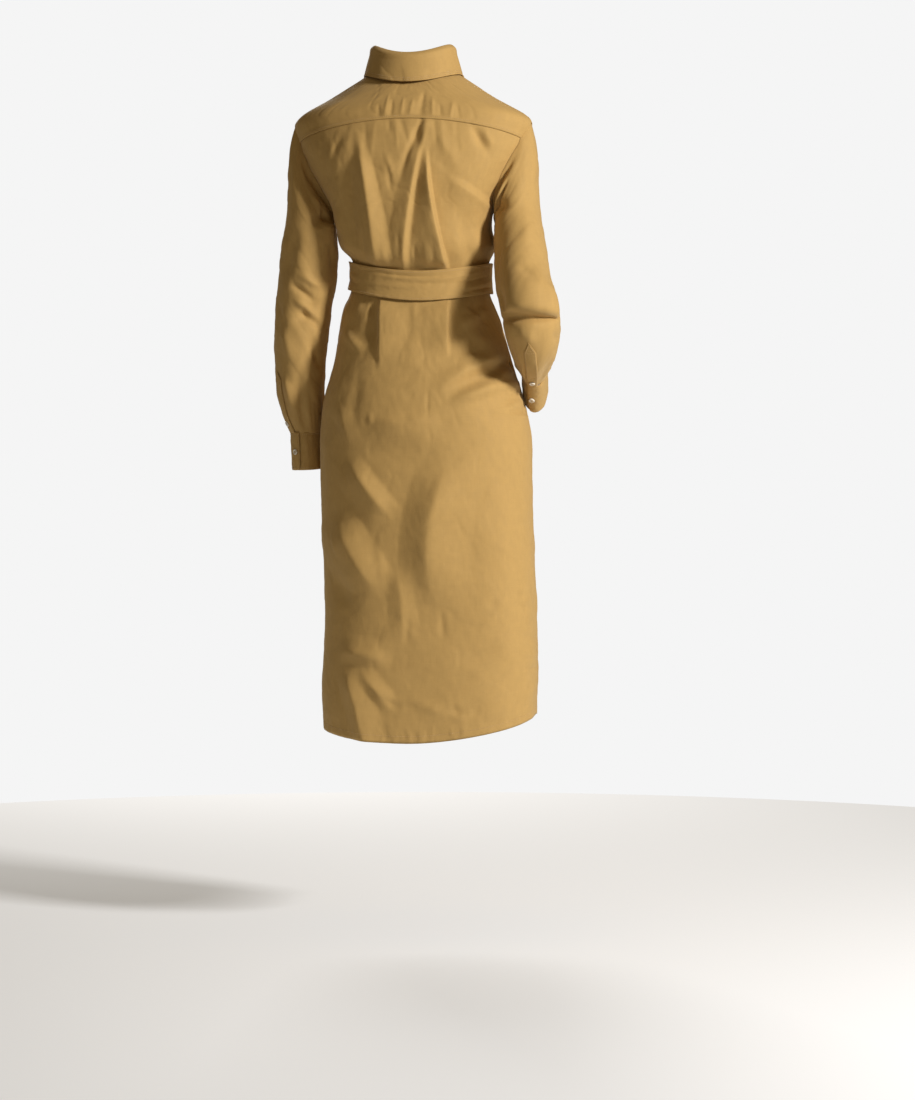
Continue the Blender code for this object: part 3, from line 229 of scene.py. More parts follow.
# Crests of the back, where the cloth falls evenly to both sides of a line, in millimetres. plus0,
# plus1: how far it falls on the +x or lower side, at each end; minus0, minus1: on the other side.
CRESTS = (
    # x0, z0, x1, z1, bow, plus0, plus1, minus0, minus1, rise, open0, open1
    (-32, -78, 6, -307, 4, 12, 34, 5, 10, 7.5, 0, 1),
    (-35, -108, -65, -307, 6, 8, 56, 4, 5.5, 17, 0, 1),
    (82, -72, 47, -307, -4, 20, 34, 10, 26, 12, 0, 1),
    (-63, -160, -143, -219, -4, 26, 46, 10, 14, 6.5, 0, 0),
    (-40, -72, -100, -166, 0, 14, 16, 16, 18, 2.2, 0, 0),
    (124, -189, 88, -297, 0, 16, 20, 12, 16, 5, 0, 0),
    (44, -359, 40, -477, 0, 5, 8, 46, 54, 8, 1, 0),
    (-67, -359, -68, -457, 0, 58, 50, 4.5, 7, 9, 1, 0),
    (65, -359, 72, -412, 0, 8, 12, 10, 14, 3, 1, 0),
    (68, -562, -70, -555, 0, 26, 28, 14, 18, 5.5, 0, 0),
    (111, -519, 88, -608, 0, 14, 20, 16, 22, 3.5, 0, 0),
    (-169, -441, -40, -516, 3, 18, 26, 16, 24, 8, 0, 0),
    (-182, -490, -73, -531, 2, 12, 15, 10, 14, 5.5, 0, 0),
    (-152, -359, -77, -408, 0, 10, 12, 10, 12, 3.5, 0, 0),
    (98, -614, 16, -722, 0, 34, 40, 20, 24, 12.5, 0, 0),
    (123, -702, 35, -849, 3, 44, 54, 34, 40, 15.5, 0, 0),
    (-90, -598, -54, -876, 30, 42, 46, 60, 70, 16, 0, 0),
    (12, -778, -4, -925, 0, 20, 24, 22, 24, 4.5, 0, 0),
    (118, -931, 16, -947, 0, 18, 20, 28, 28, 8.5, 0, 0),
    (103, -951, 65, -1085, -3, 20, 22, 30, 34, 10, 0, 1),
    (75, -961, 16, -1032, 0, 13, 16, 18, 20, 7, 0, 0),
    (2, -1013, -77, -1032, 0, 12, 12, 14, 14, 2.5, 0, 0),
    (-156, -637, -175, -1013, 4, 60, 60, 30, 40, 4, 0, 0),
)


def spline(table, place):
    """Rows of a table at places along its first column: a cubic with the table's own slopes."""
    knots = table[:, 0]
    slopes = np.gradient(table, knots, axis=0)
    row = np.clip(np.searchsorted(knots, place) - 1, 0, len(knots) - 2)
    step = (knots[row + 1] - knots[row])[..., None]
    t = (place - knots[row])[..., None] / step
    ease = t * t * (3 - 2 * t)
    lean = step * slopes[row] * t * (1 - t) ** 2 - step * slopes[row + 1] * t * t * (1 - t)
    return table[row] * (1 - ease) + table[row + 1] * ease + lean


def smooth(value):
    """0 below 0, 1 above 1, and 3v^2 - 2v^3 between them."""
    value = np.clip(value, 0.0, 1.0)
    return value * value * (3 - 2 * value)


def hump(value, middle, half):
    """(1 - d^2)^2 of the distance d from the middle in half lengths, 0 beyond 1."""
    return np.clip(1 - ((value - middle) / half) ** 2, 0, 1) ** 2


def bell(value, middle, half):
    """exp(-d^2) of the distance d from the middle in half widths."""
    return np.exp(-(((value - middle) / half) ** 2))


def unit(ways):
    """Vectors over their own lengths."""
    return ways / np.linalg.norm(ways, axis=-1, keepdims=True)


def body_form(turn, level):
    """Plain body: an oval ring at each level. turn is 0 at centre back and +90 at the left seam."""
    turn, level = np.broadcast_arrays(np.asarray(turn, float), np.asarray(level, float))
    rings = np.moveaxis(spline(BODY_RINGS, level), -1, 0)
    _, side_z, front_z, tilt, half, centre, back, front, full = rings
    sine, cosine = np.sin(np.radians(turn)), np.cos(np.radians(turn))
    swell = 1 + full * (2 * sine * cosine) ** 2
    x = centre + half * swell * sine
    y = np.where(cosine > 0, back, front) * swell * cosine
    end_z = np.where(cosine > 0, level, front_z)
    return np.stack((x, y, side_z + (end_z - side_z) * cosine**2 + tilt * sine), axis=-1)


def beside_line(x, z, line):
    """Share of the way along a bowed line, and the distances to its side and past its ends."""
    x0, z0, x1, z1, bow = np.array(line) / 1000
    length = np.hypot(x1 - x0, z1 - z0)
    along = ((x - x0) * (x1 - x0) + (z - z0) * (z1 - z0)) / length**2
    part = np.clip(along, 0, 1)
    aside = ((x - x0) * (z0 - z1) + (z - z0) * (x1 - x0)) / length - bow * 4 * part * (1 - part)
    return part, aside, (along - part) * length


def tapered(part, open0, open1, reach):
    """1 along a line, easing to 0 at each end that isn't open, over a share of its length."""
    start = open0 + (1 - open0) * smooth(part / reach)
    return start * (open1 + (1 - open1) * smooth((1 - part) / reach))


def fold_depth(points):
    """Sum of all folds, by their distance to each line in widths, faded out past the side seams.

    step 0 is a bell and 1 or -1 a soft step that dies away over five widths. 3 is a sharp crest
    that falls exponentially on both sides.
    """
    x, y, z = np.moveaxis(points, -1, 0)
    depth = np.zeros(x.shape)
    for face, rows in ((1, BACK_FOLDS), (-1, FRONT_FOLDS)):
        for *line, wide0, wide1, rise, open0, open1, step in rows:
            part, aside, past = beside_line(x, z, line)
            wide = (wide0 + (wide1 - wide0) * part) / 1000
            away, beyond = aside / wide, past / wide
            if step == 0:
                shape = np.exp(-(away**2) - beyond**2)
            elif step == 3:
                shape = np.exp(0.25 - np.hypot(away, 0.25) - beyond**2)
            else:
                high = np.maximum(away * step, 0)
                shape = smooth(away * step / 2 + 0.5) * np.exp(-((high / 5) ** 2) - beyond**2)
            shape = shape * tapered(part, open0, open1, 0.45)
            depth = depth + rise / 1000 * shape * smooth(y * face / 0.03 + 0.3)
    return depth


def crest_depth(points):
    """Sum of all crests: (1 - distance in widths)^1.3, with a rounded top and tapered ends."""
    x, y, z = np.moveaxis(points, -1, 0)
    depth = np.zeros(x.shape)
    for *line, plus0, plus1, minus0, minus1, rise, open0, open1 in CRESTS:
        part, aside, past = beside_line(x, z, line)
        plus, minus = plus0 + (plus1 - plus0) * part, minus0 + (minus1 - minus0) * part
        away = np.hypot(np.where(aside > 0, aside / plus, -aside / minus) * 1000, 0.12) - 0.12
        shape = np.clip(1 - np.hypot(away, past / 0.020), 0, 1) ** 1.3
        shape = shape * tapered(part, open0, open1, 0.4)
        depth = depth + rise / 1000 * shape * smooth(y / 0.03 + 0.3)
    return depth


def surface_normal(form, first, second, step_first, step_second):
    """Unit cross product of a surface's two central differences."""
    across = form(first + step_first, second) - form(first - step_first, second)
    up = form(first, second + step_second) - form(first, second - step_second)
    return unit(np.cross(up, across))


def body_normal(turn, level):
    """Normal of the plain body, from steps of half a degree and 1.5 mm."""
    return surface_normal(body_form, turn, level, 0.5, 0.0015)


def crumple(across, along, seed, size, count=48):
    """Uneven relief in -1 to 1: a sum of sine waves in random directions, sharpened to creases."""
    draw = np.random.default_rng(seed)
    angle = draw.uniform(0, 2 * np.pi, count)
    pitch = 2 * np.pi / (size * draw.uniform(0.5, 2.2, count))
    phase = draw.uniform(0, 2 * np.pi, count)
    total = np.zeros(np.broadcast(across, along).shape)
    for turn, wave, start in zip(angle, pitch, phase):
        total += np.sin((across * np.cos(turn) + along * np.sin(turn)) * wave + start)
    total /= np.sqrt(count)
    return np.tanh(total) - 0.5 * bell(total, 0, 0.22)


def body(turn, level, out=0.0, rough=1.0):
    """Body form moved out along its normal by its folds, less under the belt and at the yoke seam.

    rough times the small relief is added: two sizes of crumpling, puckers beside the side seams and
    by the hem's stitching, and a groove along each side seam.
    """
    turn, level = np.broadcast_arrays(np.asarray(turn, float), np.asarray(level, float))
    form = body_form(turn, level)
    pressed = 0.92 * np.exp(-(((level - BELT) / 0.036) ** 6))
    sewn = bell(level, YOKE_SEAM, 0.004)
    depth = (fold_depth(form) + crest_depth(form)) * (1 - pressed) * (1 - sewn)
    aside, round_way = np.abs(turn), np.radians(turn) * MEAN_RADIUS
    small = 0.00022 * crumple(round_way, level, 3, 0.018)
    small = small + 0.0008 * crumple(round_way, level, 8, 0.070)
    seam_pucker = crumple(0 * turn, level, 5, 0.011) * smooth((-0.44 - level) / 0.05)
    small = small + 0.0007 * bell(aside, 86, 4) * seam_pucker
    hem_pucker = crumple(round_way, 0.3 * level, 6, 0.010)
    small = small + 0.0006 * bell(level - HEM, 0.011, 0.012) * hem_pucker
    small = small - 0.0009 * bell(aside, 90, 0.5) * (level < UNDERARM)
    depth = depth + rough * small * (1 - 0.8 * pressed) * (1 - sewn)
    return form + body_normal(turn, level) * (depth + out)[..., None]


SCOOPS = {  # degrees that the armhole cuts into the back, and the share given back at its top
    LEFT: (17.0, 0.20),
    RIGHT: (52.0, 0.62),
}
POCKET_MIDDLE, POCKET_HALF = -0.500, 0.058
POCKET_GAPE = {LEFT: 1.2, RIGHT: 8.0}  # degrees that the seam stands open at the pocket
VENT_GAPE = {LEFT: 8.0, RIGHT: 3.0}  # and at the hem


def back_edge(level, side):
    """Turn of the back's edge: 90 at the side seam, less the pocket, vent and armhole's arc."""
    reach, fade = SCOOPS[side]
    climb = np.clip((level - UNDERARM) / (YOKE_SEAM - UNDERARM), 0, 1)
    pocket = POCKET_GAPE[side] * hump(level, POCKET_MIDDLE, POCKET_HALF)
    vent = VENT_GAPE[side] * np.clip((VENT_TOP - level) / (VENT_TOP - HEM), 0, 1) ** 0.7
    return 90 - reach * np.sqrt(climb) * (1 - fade * climb) - pocket - vent


def armhole_levels(top, count):
    """Levels from the underarm up to a seam, their steps growing."""
    return UNDERARM + (top - UNDERARM) * np.linspace(0, 1, count + 1) ** 1.6


def panel_turns(levels, first, last, plain, power):
    """Turns of a panel's grid: plain columns, those by each edge moved with it by a power law."""
    share = (plain - plain[0]) / (plain[-1] - plain[0])
    start = (first - plain[0])[:, None] * (1 - share) ** power
    end = (last - plain[-1])[:, None] * share**power
    return plain + start + end + 0 * levels[:, None]


def quads(grid):
    """The corners of every cell of a grid: down its first side and back up its second."""
    return np.stack((grid[:-1, :-1], grid[1:, :-1], grid[1:, 1:], grid[:-1, 1:]), axis=2)


def wrapped(grid):
    """A grid with its first column again at its end."""
    return np.concatenate((grid, grid[:, :1]), axis=1)


def add_mesh(name, points, faces, finish):
    """An object in the scene with a smooth mesh of points and four-sided faces in one material."""
    mesh = bpy.data.meshes.new(name)
    mesh.from_pydata(points.reshape(-1, 3).tolist(), [], faces.reshape(-1, 4).tolist())
    mesh.materials.append(finish)
    mesh.shade_smooth()
    made = bpy.data.objects.new(name, mesh)
    bpy.context.scene.collection.objects.link(made)
    return made


grids = {}  # every cloth piece's outer points, whether it is closed round, and its facing


def cloth_piece(name, points, finish, wall=0.0009, closed=False, flip=False):
    """Mesh of a grid of points, its rows one after the other, with a UV map of the cloth in metres.

    u is the mean length along the rows and v the mean length down the columns. Solidify adds the
    inner face.
    """
    grids[name] = points, closed, -1.0 if flip else 1.0
    ring, corner = points, np.arange(points[..., 0].size).reshape(points.shape[:2])
    if closed:
        ring, corner = wrapped(points), wrapped(corner)
    across = np.linalg.norm(np.diff(ring, axis=1), axis=-1).mean(axis=0)
    along = np.linalg.norm(np.diff(points, axis=0), axis=-1).mean(axis=1)
    u, v = (np.concatenate(((0,), np.cumsum(steps))) for steps in (across, along))
    faces = quads(corner).reshape(-1, 4)
    place = quads(np.stack(np.meshgrid(u, v), axis=-1)).reshape(-1, 4, 2)
    if flip:
        faces, place = faces[:, ::-1], place[:, ::-1]
    made = add_mesh(name, points, faces, finish)
    cloth_map = made.data.uv_layers.new(name="cloth")
    cloth_map.data.foreach_set("uv", place.reshape(-1).astype(np.float32))
    thicken = made.modifiers.new("wall", "SOLIDIFY")
    thicken.thickness, thicken.offset = wall, -1
    return made


def feed(made, values):
    """Sets a node's inputs, by name or number, or links them where the value is a socket."""
    for key, value in dict(values).items():
        if isinstance(value, bpy.types.NodeSocket):
            made.id_data.links.new(value, made.inputs[key])
        else:
            made.inputs[key].default_value = value


def node(tree, kind, values=(), **settings):
    """A shader node with its settings and inputs."""
    made = tree.nodes.new(kind if kind.startswith("NodeGroup") else "ShaderNode" + kind)
    for key, value in settings.items():
        setattr(made, key, value)
    feed(made, values)
    return made


def maths(tree, operation, *values):
    """Output of a Math node of up to three values or sockets."""
    return node(tree, "Math", enumerate(values), operation=operation).outputs[0]


def weave_group():
    """Node group for plain-woven cloth, read from a UV map in metres.

    A thread's height is 1 less its sine squared, lifted and lowered along it by the product of both
    sets' sines. Slubs are noise drawn out along each set of threads, and creasing is coarser noise.
    """
    group = bpy.data.node_groups.new("plain weave", "ShaderNodeTree")
    new_socket = group.interface.new_socket
    new_socket(name="Cloth", in_out="INPUT", socket_type="NodeSocketVector")
    count = new_socket(name="Threads per metre", in_out="INPUT", socket_type="NodeSocketFloat")
    count.default_value = 1250.0
    for out in ("Height", "Slub", "Creasing"):
        new_socket(name=out, in_out="OUTPUT", socket_type="NodeSocketFloat")
    enter = node(group, "NodeGroupInput")
    cloth = enter.outputs["Cloth"]

    def noise(scale, detail, stretch):
        """Noise over the cloth, drawn out along the way where stretch is small."""
        wide = node(group, "Mapping", {"Vector": cloth, "Scale": stretch})
        values = {"Vector": wide.outputs[0], "Scale": scale, "Detail": detail, "Roughness": 0.55}
        return node(group, "TexNoise", values).outputs["Fac"]

    split = node(group, "SeparateXYZ", {0: cloth})
    turn = maths(group, "MULTIPLY", enter.outputs["Threads per metre"], np.pi)
    waves, threads = [], []
    for axis in (0, 1):
        wave = maths(group, "SINE", maths(group, "MULTIPLY", split.outputs[axis], turn))
        square = maths(group, "POWER", maths(group, "ABSOLUTE", wave), 2.0)
        waves.append(wave)
        threads.append(maths(group, "SUBTRACT", 1.0, square))
    over = maths(group, "MULTIPLY", *waves)
    crossing, both = maths(group, "SUBTRACT", *threads), maths(group, "ADD", *threads)
    height = maths(group, "MULTIPLY_ADD", over, crossing, both)
    slub = maths(group, "ADD", noise(900, 2, (1.0, 0.035, 1.0)), noise(900, 2, (0.035, 1.0, 1.0)))
    node(group, "NodeGroupOutput", {
        "Height": maths(group, "MULTIPLY_ADD", slub, 0.8, height),
        "Slub": maths(group, "MULTIPLY", slub, 0.5),
        "Creasing": noise(95, 5, (1.0, 0.6, 1.0)),
    })
    return group


def two_tone(tree, share, dark, light, ends=(0.0, 1.0)):
    """A colour that runs from dark to light as the share runs between two ends."""
    ramp = node(tree, "ValToRGB", {"Fac": share})
    for stop, colour, end in zip(ramp.color_ramp.elements, (dark, light), ends):
        stop.color, stop.position = (*colour, 1), end
    return ramp.outputs["Color"]


def new_finish(name):
    """A material, its node tree and its Principled BSDF."""
    made = bpy.data.materials.new(name)
    made.use_nodes = True
    return made, made.node_tree, made.node_tree.nodes["Principled BSDF"]


def cotton_cloth(name, weave, dark, light):
    """Cotton: colour varied by slubs and by painted shade and light that follow the creasing bump,
    a soft sheen, and bumps for folds and weave.
    """
    made, tree, shader = new_finish(name)
    uv = node(tree, "UVMap", uv_map="cloth")
    woven = node(tree, "Group", node_tree=weave)
    feed(woven, {"Cloth": uv.outputs[0]})
    creasing = woven.outputs["Creasing"]
    slub_tone_and_painted_crease_shade = maths(tree, "MULTIPLY_ADD", woven.outputs["Slub"], 0.30, 0.35)
    # creasing is also the rough bump's height, so this makes the colour darker in its dents and
    # lighter on its rises: painted shade and light
    slub_tone_and_painted_crease_shade = maths(tree, "MULTIPLY_ADD", creasing, 0.30, slub_tone_and_painted_crease_shade)
    share = maths(tree, "SUBTRACT", slub_tone_and_painted_crease_shade, 0.15)
    dull = node(tree, "MapRange", {"Value": creasing, "To Min": 0.62, "To Max": 0.86})
    rough = node(tree, "Bump", {"Height": creasing, "Strength": 0.11, "Distance": 0.0024})
    relief = {"Height": woven.outputs["Height"], "Strength": 0.22, "Distance": 0.00012}
    thread = node(tree, "Bump", {**relief, "Normal": rough.outputs[0]})
    feed(shader, {
        "Base Color": two_tone(tree, share, dark, light, (0.36, 0.64)),
        "Roughness": dull.outputs[0],
        "Normal": thread.outputs[0],
        "Specular IOR Level": 0.22,
        "Sheen Weight": 0.22,
        "Sheen Roughness": 0.45,
        "Sheen Tint": (1.0, 0.86, 0.62, 1),
    })
    return made


def fit(piece, nodes):
    """Hangs a cloth piece from the root body and hides the solids it stands for."""
    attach(piece, "root")
    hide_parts(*nodes)


TAN = np.array((0.448, 0.280, 0.094))
cotton = cotton_cloth("tan cotton", weave_group(), TAN * 0.92, TAN * 1.08)

HEM_UNDER = -0.0019  # how far the hem's turning lies inside the panel
hem_rows = HEM + np.array((0.016, 0.008, 0.001))  # the turning, from its raw edge to its fold


def hemmed(turns, levels):
    """A panel's points, with the hem's turning in three rows before its first."""
    turned = body(np.repeat(turns[:1], 3, axis=0), hem_rows[:, None], HEM_UNDER)
    return np.concatenate((turned, body(turns, levels[:, None])))


skirt_rows = np.linspace(HEM, UNDERARM, 200)
back_levels = np.concatenate((skirt_rows, armhole_levels(YOKE_SEAM, 52)[1:]))
back_sides = [side * (back_edge(back_levels, side) - 0.05) for side in (RIGHT, LEFT)]
across = np.linspace(-1, 1, 192)
back_plain = 90 * (across + 0.25 * across**3) / 1.25
back_turns = panel_turns(back_levels, *back_sides, back_plain, 5)
back_piece = cloth_piece("back_panel", hemmed(back_turns, back_levels), cotton)
fit(back_piece, ["back"])

# ---- Yoke --------------------------------------------------------------------------------------
# A shaped piece over both shoulders, from the seam across the back to a short seam on each side of
# the chest. Its edges are folded under, laid over the back and the fronts, and stitched through.

TIP_STEPS, RIM_STEPS = 10, 40  # steps of the armhole over the shoulder tip, and down each side


def yoke_edge(turn, side):
    """Level of the yoke's lower edge: from the back seam up to the tip by a square, and down."""
    corner = back_edge(np.array(YOKE_SEAM), side)
    back = np.clip((90 - turn) / (90 - corner), 0, 1)
    chest = np.clip((turn - 90) / (CHEST_TURN - 90), 0, 1)
    rear = (YOKE_SEAM - SHOULDER_TIP) * back**2
    return SHOULDER_TIP + rear + (CHEST_SEAM - SHOULDER_TIP) * chest**2


def tip_turns(side, steps):
    """Turns along the yoke's armhole, from the back seam's corner by the tip to the chest seam."""
    corner = float(back_edge(np.array(YOKE_SEAM), side))
    fore = np.linspace(90, CHEST_TURN, steps + 1)[1:]
    return np.concatenate((np.linspace(corner, 90, steps + 1), fore))


left_tip, right_tip = tip_turns(LEFT, TIP_STEPS), -tip_turns(RIGHT, TIP_STEPS)[::-1]
rear_turns = np.linspace(right_tip[-1], left_tip[0], 250)[1:-1]
seam_turns = np.concatenate((right_tip, rear_turns, left_tip))
seam_levels = np.where(seam_turns < 0, yoke_edge(-seam_turns, RIGHT), yoke_edge(seam_turns, LEFT))
climb = np.linspace(0, 1, 40)[:, None]
yoke_levels = seam_levels - 0.0022 * (1 - climb) ** 8 + (NECKLINE - seam_levels) * climb
swing = 1 + climb * (NECK_TURN / CHEST_TURN - 1) * np.abs(seam_turns / CHEST_TURN) ** 4
chest_lap = 0.5 * np.sign(seam_turns) * (np.abs(seam_turns) > CHEST_TURN - 1)
yoke_turns = seam_turns * swing + chest_lap
# the felled edge: a folded allowance that stands up beside the seam and sinks at its stitching
off_seam = (yoke_levels - seam_levels) / 0.010
yoke_out = 0.0007 + 0.0006 * bell(off_seam, 0.15, 3**-0.5) - 0.0004 * bell(off_seam, 0.42, 0.12)
yoke_piece = cloth_piece("yoke_panel", body(yoke_turns, yoke_levels, yoke_out), cotton)
fit(yoke_piece, ["yoke"])

# ---- Fronts ------------------------------------------------------------------------------------
# Two panels that meet at centre front under the band. Each runs from the short seam on the chest to
# the hem, and is joined to the back by a side seam with a pocket in it, open below as a vent.

FRONT_SCOOP, FRONT_FADE = 26.0, 0.3462  # the front's armhole, as in SCOOPS
ALLOWANCE_DOWN, ALLOWANCE_WIDE = 0.0012, 0.0026  # of the side seam, under the back's edge


def front_edge(level, side):
    """Turn of a front's outer edge: 90 at the side seam, plus the armhole's arc and the chest's."""
    climb = np.clip((level - UNDERARM) / (CHEST_SEAM - UNDERARM), 0, 1)
    chest = np.clip((level - CHEST_SEAM) / (NECKLINE - CHEST_SEAM), 0, 1)
    arc = FRONT_SCOOP * np.sqrt(climb) * (1 - FRONT_FADE * climb)
    return 90 + arc + (NECK_TURN - CHEST_TURN) * chest


neck_rows = np.linspace(CHEST_SEAM, NECKLINE, 19)[1:]
front_levels = np.concatenate((skirt_rows, armhole_levels(CHEST_SEAM, 46)[1:], neck_rows))
outer = front_edge(front_levels, LEFT) + 0.05
middle = np.full(outer.shape, 179.95)
front_turns = panel_turns(front_levels, outer, middle, np.linspace(90, 180, 66), 3)
for side, name in SIDES:
    turns = front_turns if side > 0 else -front_turns[:, ::-1]
    points = hemmed(turns, front_levels)
    # the seam's allowance, folded in and then back under the other panel
    edge, beside = points[:, 0 if side > 0 else -1], points[:, 1 if side > 0 else -2]
    inward = np.cross(points[:, 1:2] - points[:, :1], np.gradient(points[:, :1], axis=0))[:, 0]
    turned = edge + unit(inward) * ALLOWANCE_DOWN
    folded = np.stack((turned, turned + unit(edge - beside) * ALLOWANCE_WIDE), axis=1)
    points = np.concatenate((folded[:, ::-1], points) if side > 0 else (points, folded), axis=1)
    piece = cloth_piece(f"front_panel_{name}", points, cotton)
    fit(piece, [f"front_{name}"])

# ---- Front band --------------------------------------------------------------------------------
# A straight doubled strip down both fronts from the neck to the hem, stitched near each edge. It
# carries the buttonholes, and the buttons hold it closed.

BAND_HALF, BAND_OUT = 0.016, 0.0024
band_share = np.linspace(-1, 1, 17)
band_edge = 0.0005 * bell(np.abs(band_share), 1, 0.06)
band_sunk = 0.00035 * bell(np.abs(band_share), 0.82, 0.06)
band_half = np.degrees(BAND_HALF / spline(BODY_RINGS, front_levels)[:, 4])
band_turns = 180 + band_half[:, None] * band_share
band_points = body(band_turns, front_levels[:, None], BAND_OUT - band_edge - band_sunk)
band_piece = cloth_piece("front_band_strip", band_points, cotton, 0.0014)
fit(band_piece, ["front_band"])

# ---- Pockets -----------------------------------------------------------------------------------
# Two bags of the same cotton, each a doubled layer that hangs inside a front from the side seam and
# opens towards the seam.

BAG_LOW, BAG_TOP, BAG_REACH = -0.66, -0.425, 34  # levels, and degrees from the seam to its fold
bag_levels = np.linspace(BAG_LOW, BAG_TOP, 48)[:, None]
bag_share = np.linspace(0, 1, 61)
bag_taper = 1 - 0.5 * hump(bag_levels, BAG_LOW, 0.05)
bag_turns = 90 + 1.5 + BAG_REACH * np.sin(np.pi * bag_share) * bag_taper
bag_slack = 0.004 + 0.003 * hump(bag_levels, -0.545, 0.13)
bag_out = -0.0048 - bag_slack * smooth(bag_share * 2.4 - 0.7)
for side, name in SIDES:
    points = body(side * bag_turns, bag_levels, bag_out)
    piece = cloth_piece(f"pocket_bag_{name}", points, cotton, 0.0007, flip=side > 0)
    fit(piece, [f"pocket_{name}"])

# ---- Collar ------------------------------------------------------------------------------------
# A stand along the neckline, and a fall sewn to the stand's top edge that folds over it down to two
# points at the front. Both are doubled cotton, and the fall has two lines of stitching by its edge.

STAND_HIGH, STAND_LEAN, COLLAR_DROP = 0.030, 0.22, 0.0375


def level_way(turns):
    """Unit vectors level with the floor, out of the body at each turn: (sin, cos, 0)."""
    return np.stack((np.sin(np.radians(turns)), np.cos(np.radians(turns)), 0 * turns), axis=-1)


def stand_form(turns, climb):
    """The stand: the neckline raised, 12 percent less in front, leaning in by a share of that."""
    rise = 0.0014 + STAND_HIGH * (1 - 0.12 * smooth((np.abs(turns) - 60) / 110)) * climb
    ring = body_form(turns, np.full(turns.shape, NECKLINE))
    return ring - level_way(turns) * (STAND_LEAN * rise)[..., None] + UP * rise[..., None]


def rest_on_body(points, gap):
    """Moves points that are nearer to the body than a gap out along the nearest normal."""
    turn, level = np.meshgrid(np.linspace(-180, 180, 181), np.linspace(-0.110, NECKLINE, 58))
    form, normal = body_form(turn, level).reshape(-1, 3), body_normal(turn, level).reshape(-1, 3)
    rows = [((row[:, None] - form[None]) ** 2).sum(axis=-1).argmin(axis=1) for row in points]
    near = np.stack(rows)
    clear = np.sum((points - form[near]) * normal[near], axis=-1)
    return points + normal[near] * np.maximum(gap - clear, 0)[..., None]


stand_turns, stand_climb = np.meshgrid(np.linspace(-181, 185, 186), np.linspace(-0.06, 1, 20))
stand_lap = 0.0023 * smooth((stand_turns - 166) / 9)  # the left end lies over the right one
stand_points = stand_form(stand_turns, stand_climb)
stand_points[..., 1] -= stand_lap
stand_piece = cloth_piece("stand_band", stand_points, cotton, 0.0018)
fit(stand_piece, ["collar_stand"])

FALL_SECTION = np.array((
    # share, out, up from the stand's top edge
    (0.00, 0.0014, -0.0030),
    (0.06, 0.0006, 0.0022),
    (0.12, 0.0002, 0.0080),
    (0.20, 0.0045, 0.0125),
    (0.30, 0.0105, 0.0090),
    (0.52, 0.0140, -0.0040),
    (0.77, 0.0180, -0.0200),
    (1.00, 0.0225, -0.0375),
))


def fall_form(turns, share):
    """The fall: its section carried round the stand, drawn out and down towards the two points."""
    section = spline(FALL_SECTION, share + 0 * turns)
    point = smooth((np.abs(turns) - 80) / 92)
    down = np.clip(-section[..., 2] / COLLAR_DROP, 0, 1)
    out = section[..., 1] * (1 + 0.9 * point * down)
    out = out + 0.0012 * down * crumple(turns * 0.002, share * 0.05, 21, 0.06)
    up = section[..., 2] * (1 + 0.75 * point * down)
    turn = turns * (1 - 0.14 * point * down)
    top = stand_form(turn, np.ones(turn.shape))
    return top + level_way(turn) * out[..., None] + UP * up[..., None]


fall_turns, fall_share = np.meshgrid(np.linspace(-172, 172, 201), np.linspace(0, 1, 56))
fall_points = rest_on_body(fall_form(fall_turns, fall_share), 0.0041)
fall_piece = cloth_piece("fall_leaf", fall_points, cotton, 0.0016, flip=True)
fit(fall_piece, ["collar_fall"])

# ---- Sleeves -----------------------------------------------------------------------------------
# Two long sleeves set in below the shoulder. The left hangs nearly straight, and the right is bent
# forward at the elbow, where its upper part rolls over the lower part.

SLEEVE_RINGS = {
    LEFT: np.array((
        # x, y, z of the middle, across: half width away from the body, deep: half depth
        (0.173, 0, -0.235, 0.043, 0.057),
        (0.175, -0.002, -0.27, 0.0475, 0.06),
        (0.1785, -0.004, -0.315, 0.0485, 0.06),
        (0.185, -0.006, -0.36, 0.047, 0.058),
        (0.19, -0.008, -0.41, 0.0455, 0.056),
        (0.1925, -0.012, -0.46, 0.0425, 0.054),
        (0.192, -0.018, -0.505, 0.039, 0.052),
        (0.188, -0.024, -0.545, 0.0335, 0.047),
        (0.1835, -0.028, -0.5725, 0.0262, 0.04),
    )),
    RIGHT: np.array((
        (-0.176, 0.022, -0.235, 0.041, 0.057),
        (-0.1832, 0.044, -0.28, 0.0438, 0.059),
        (-0.1905, 0.072, -0.33, 0.046, 0.06),
        (-0.201, 0.094, -0.368, 0.047, 0.058),
        (-0.207, 0.1, -0.399, 0.0465, 0.055),
        (-0.208, 0.08, -0.424, 0.043, 0.052),
        (-0.206, 0.044, -0.446, 0.034, 0.047),
        (-0.203, 0.009, -0.468, 0.022, 0.041),
    )),
}
CUFF_ENDS = {
    LEFT: np.array((0.1815, -0.032, -0.6345, 0.0258, 0.0385)),
    RIGHT: np.array((-0.2000, -0.040, -0.508, 0.0215, 0.0400)),
}
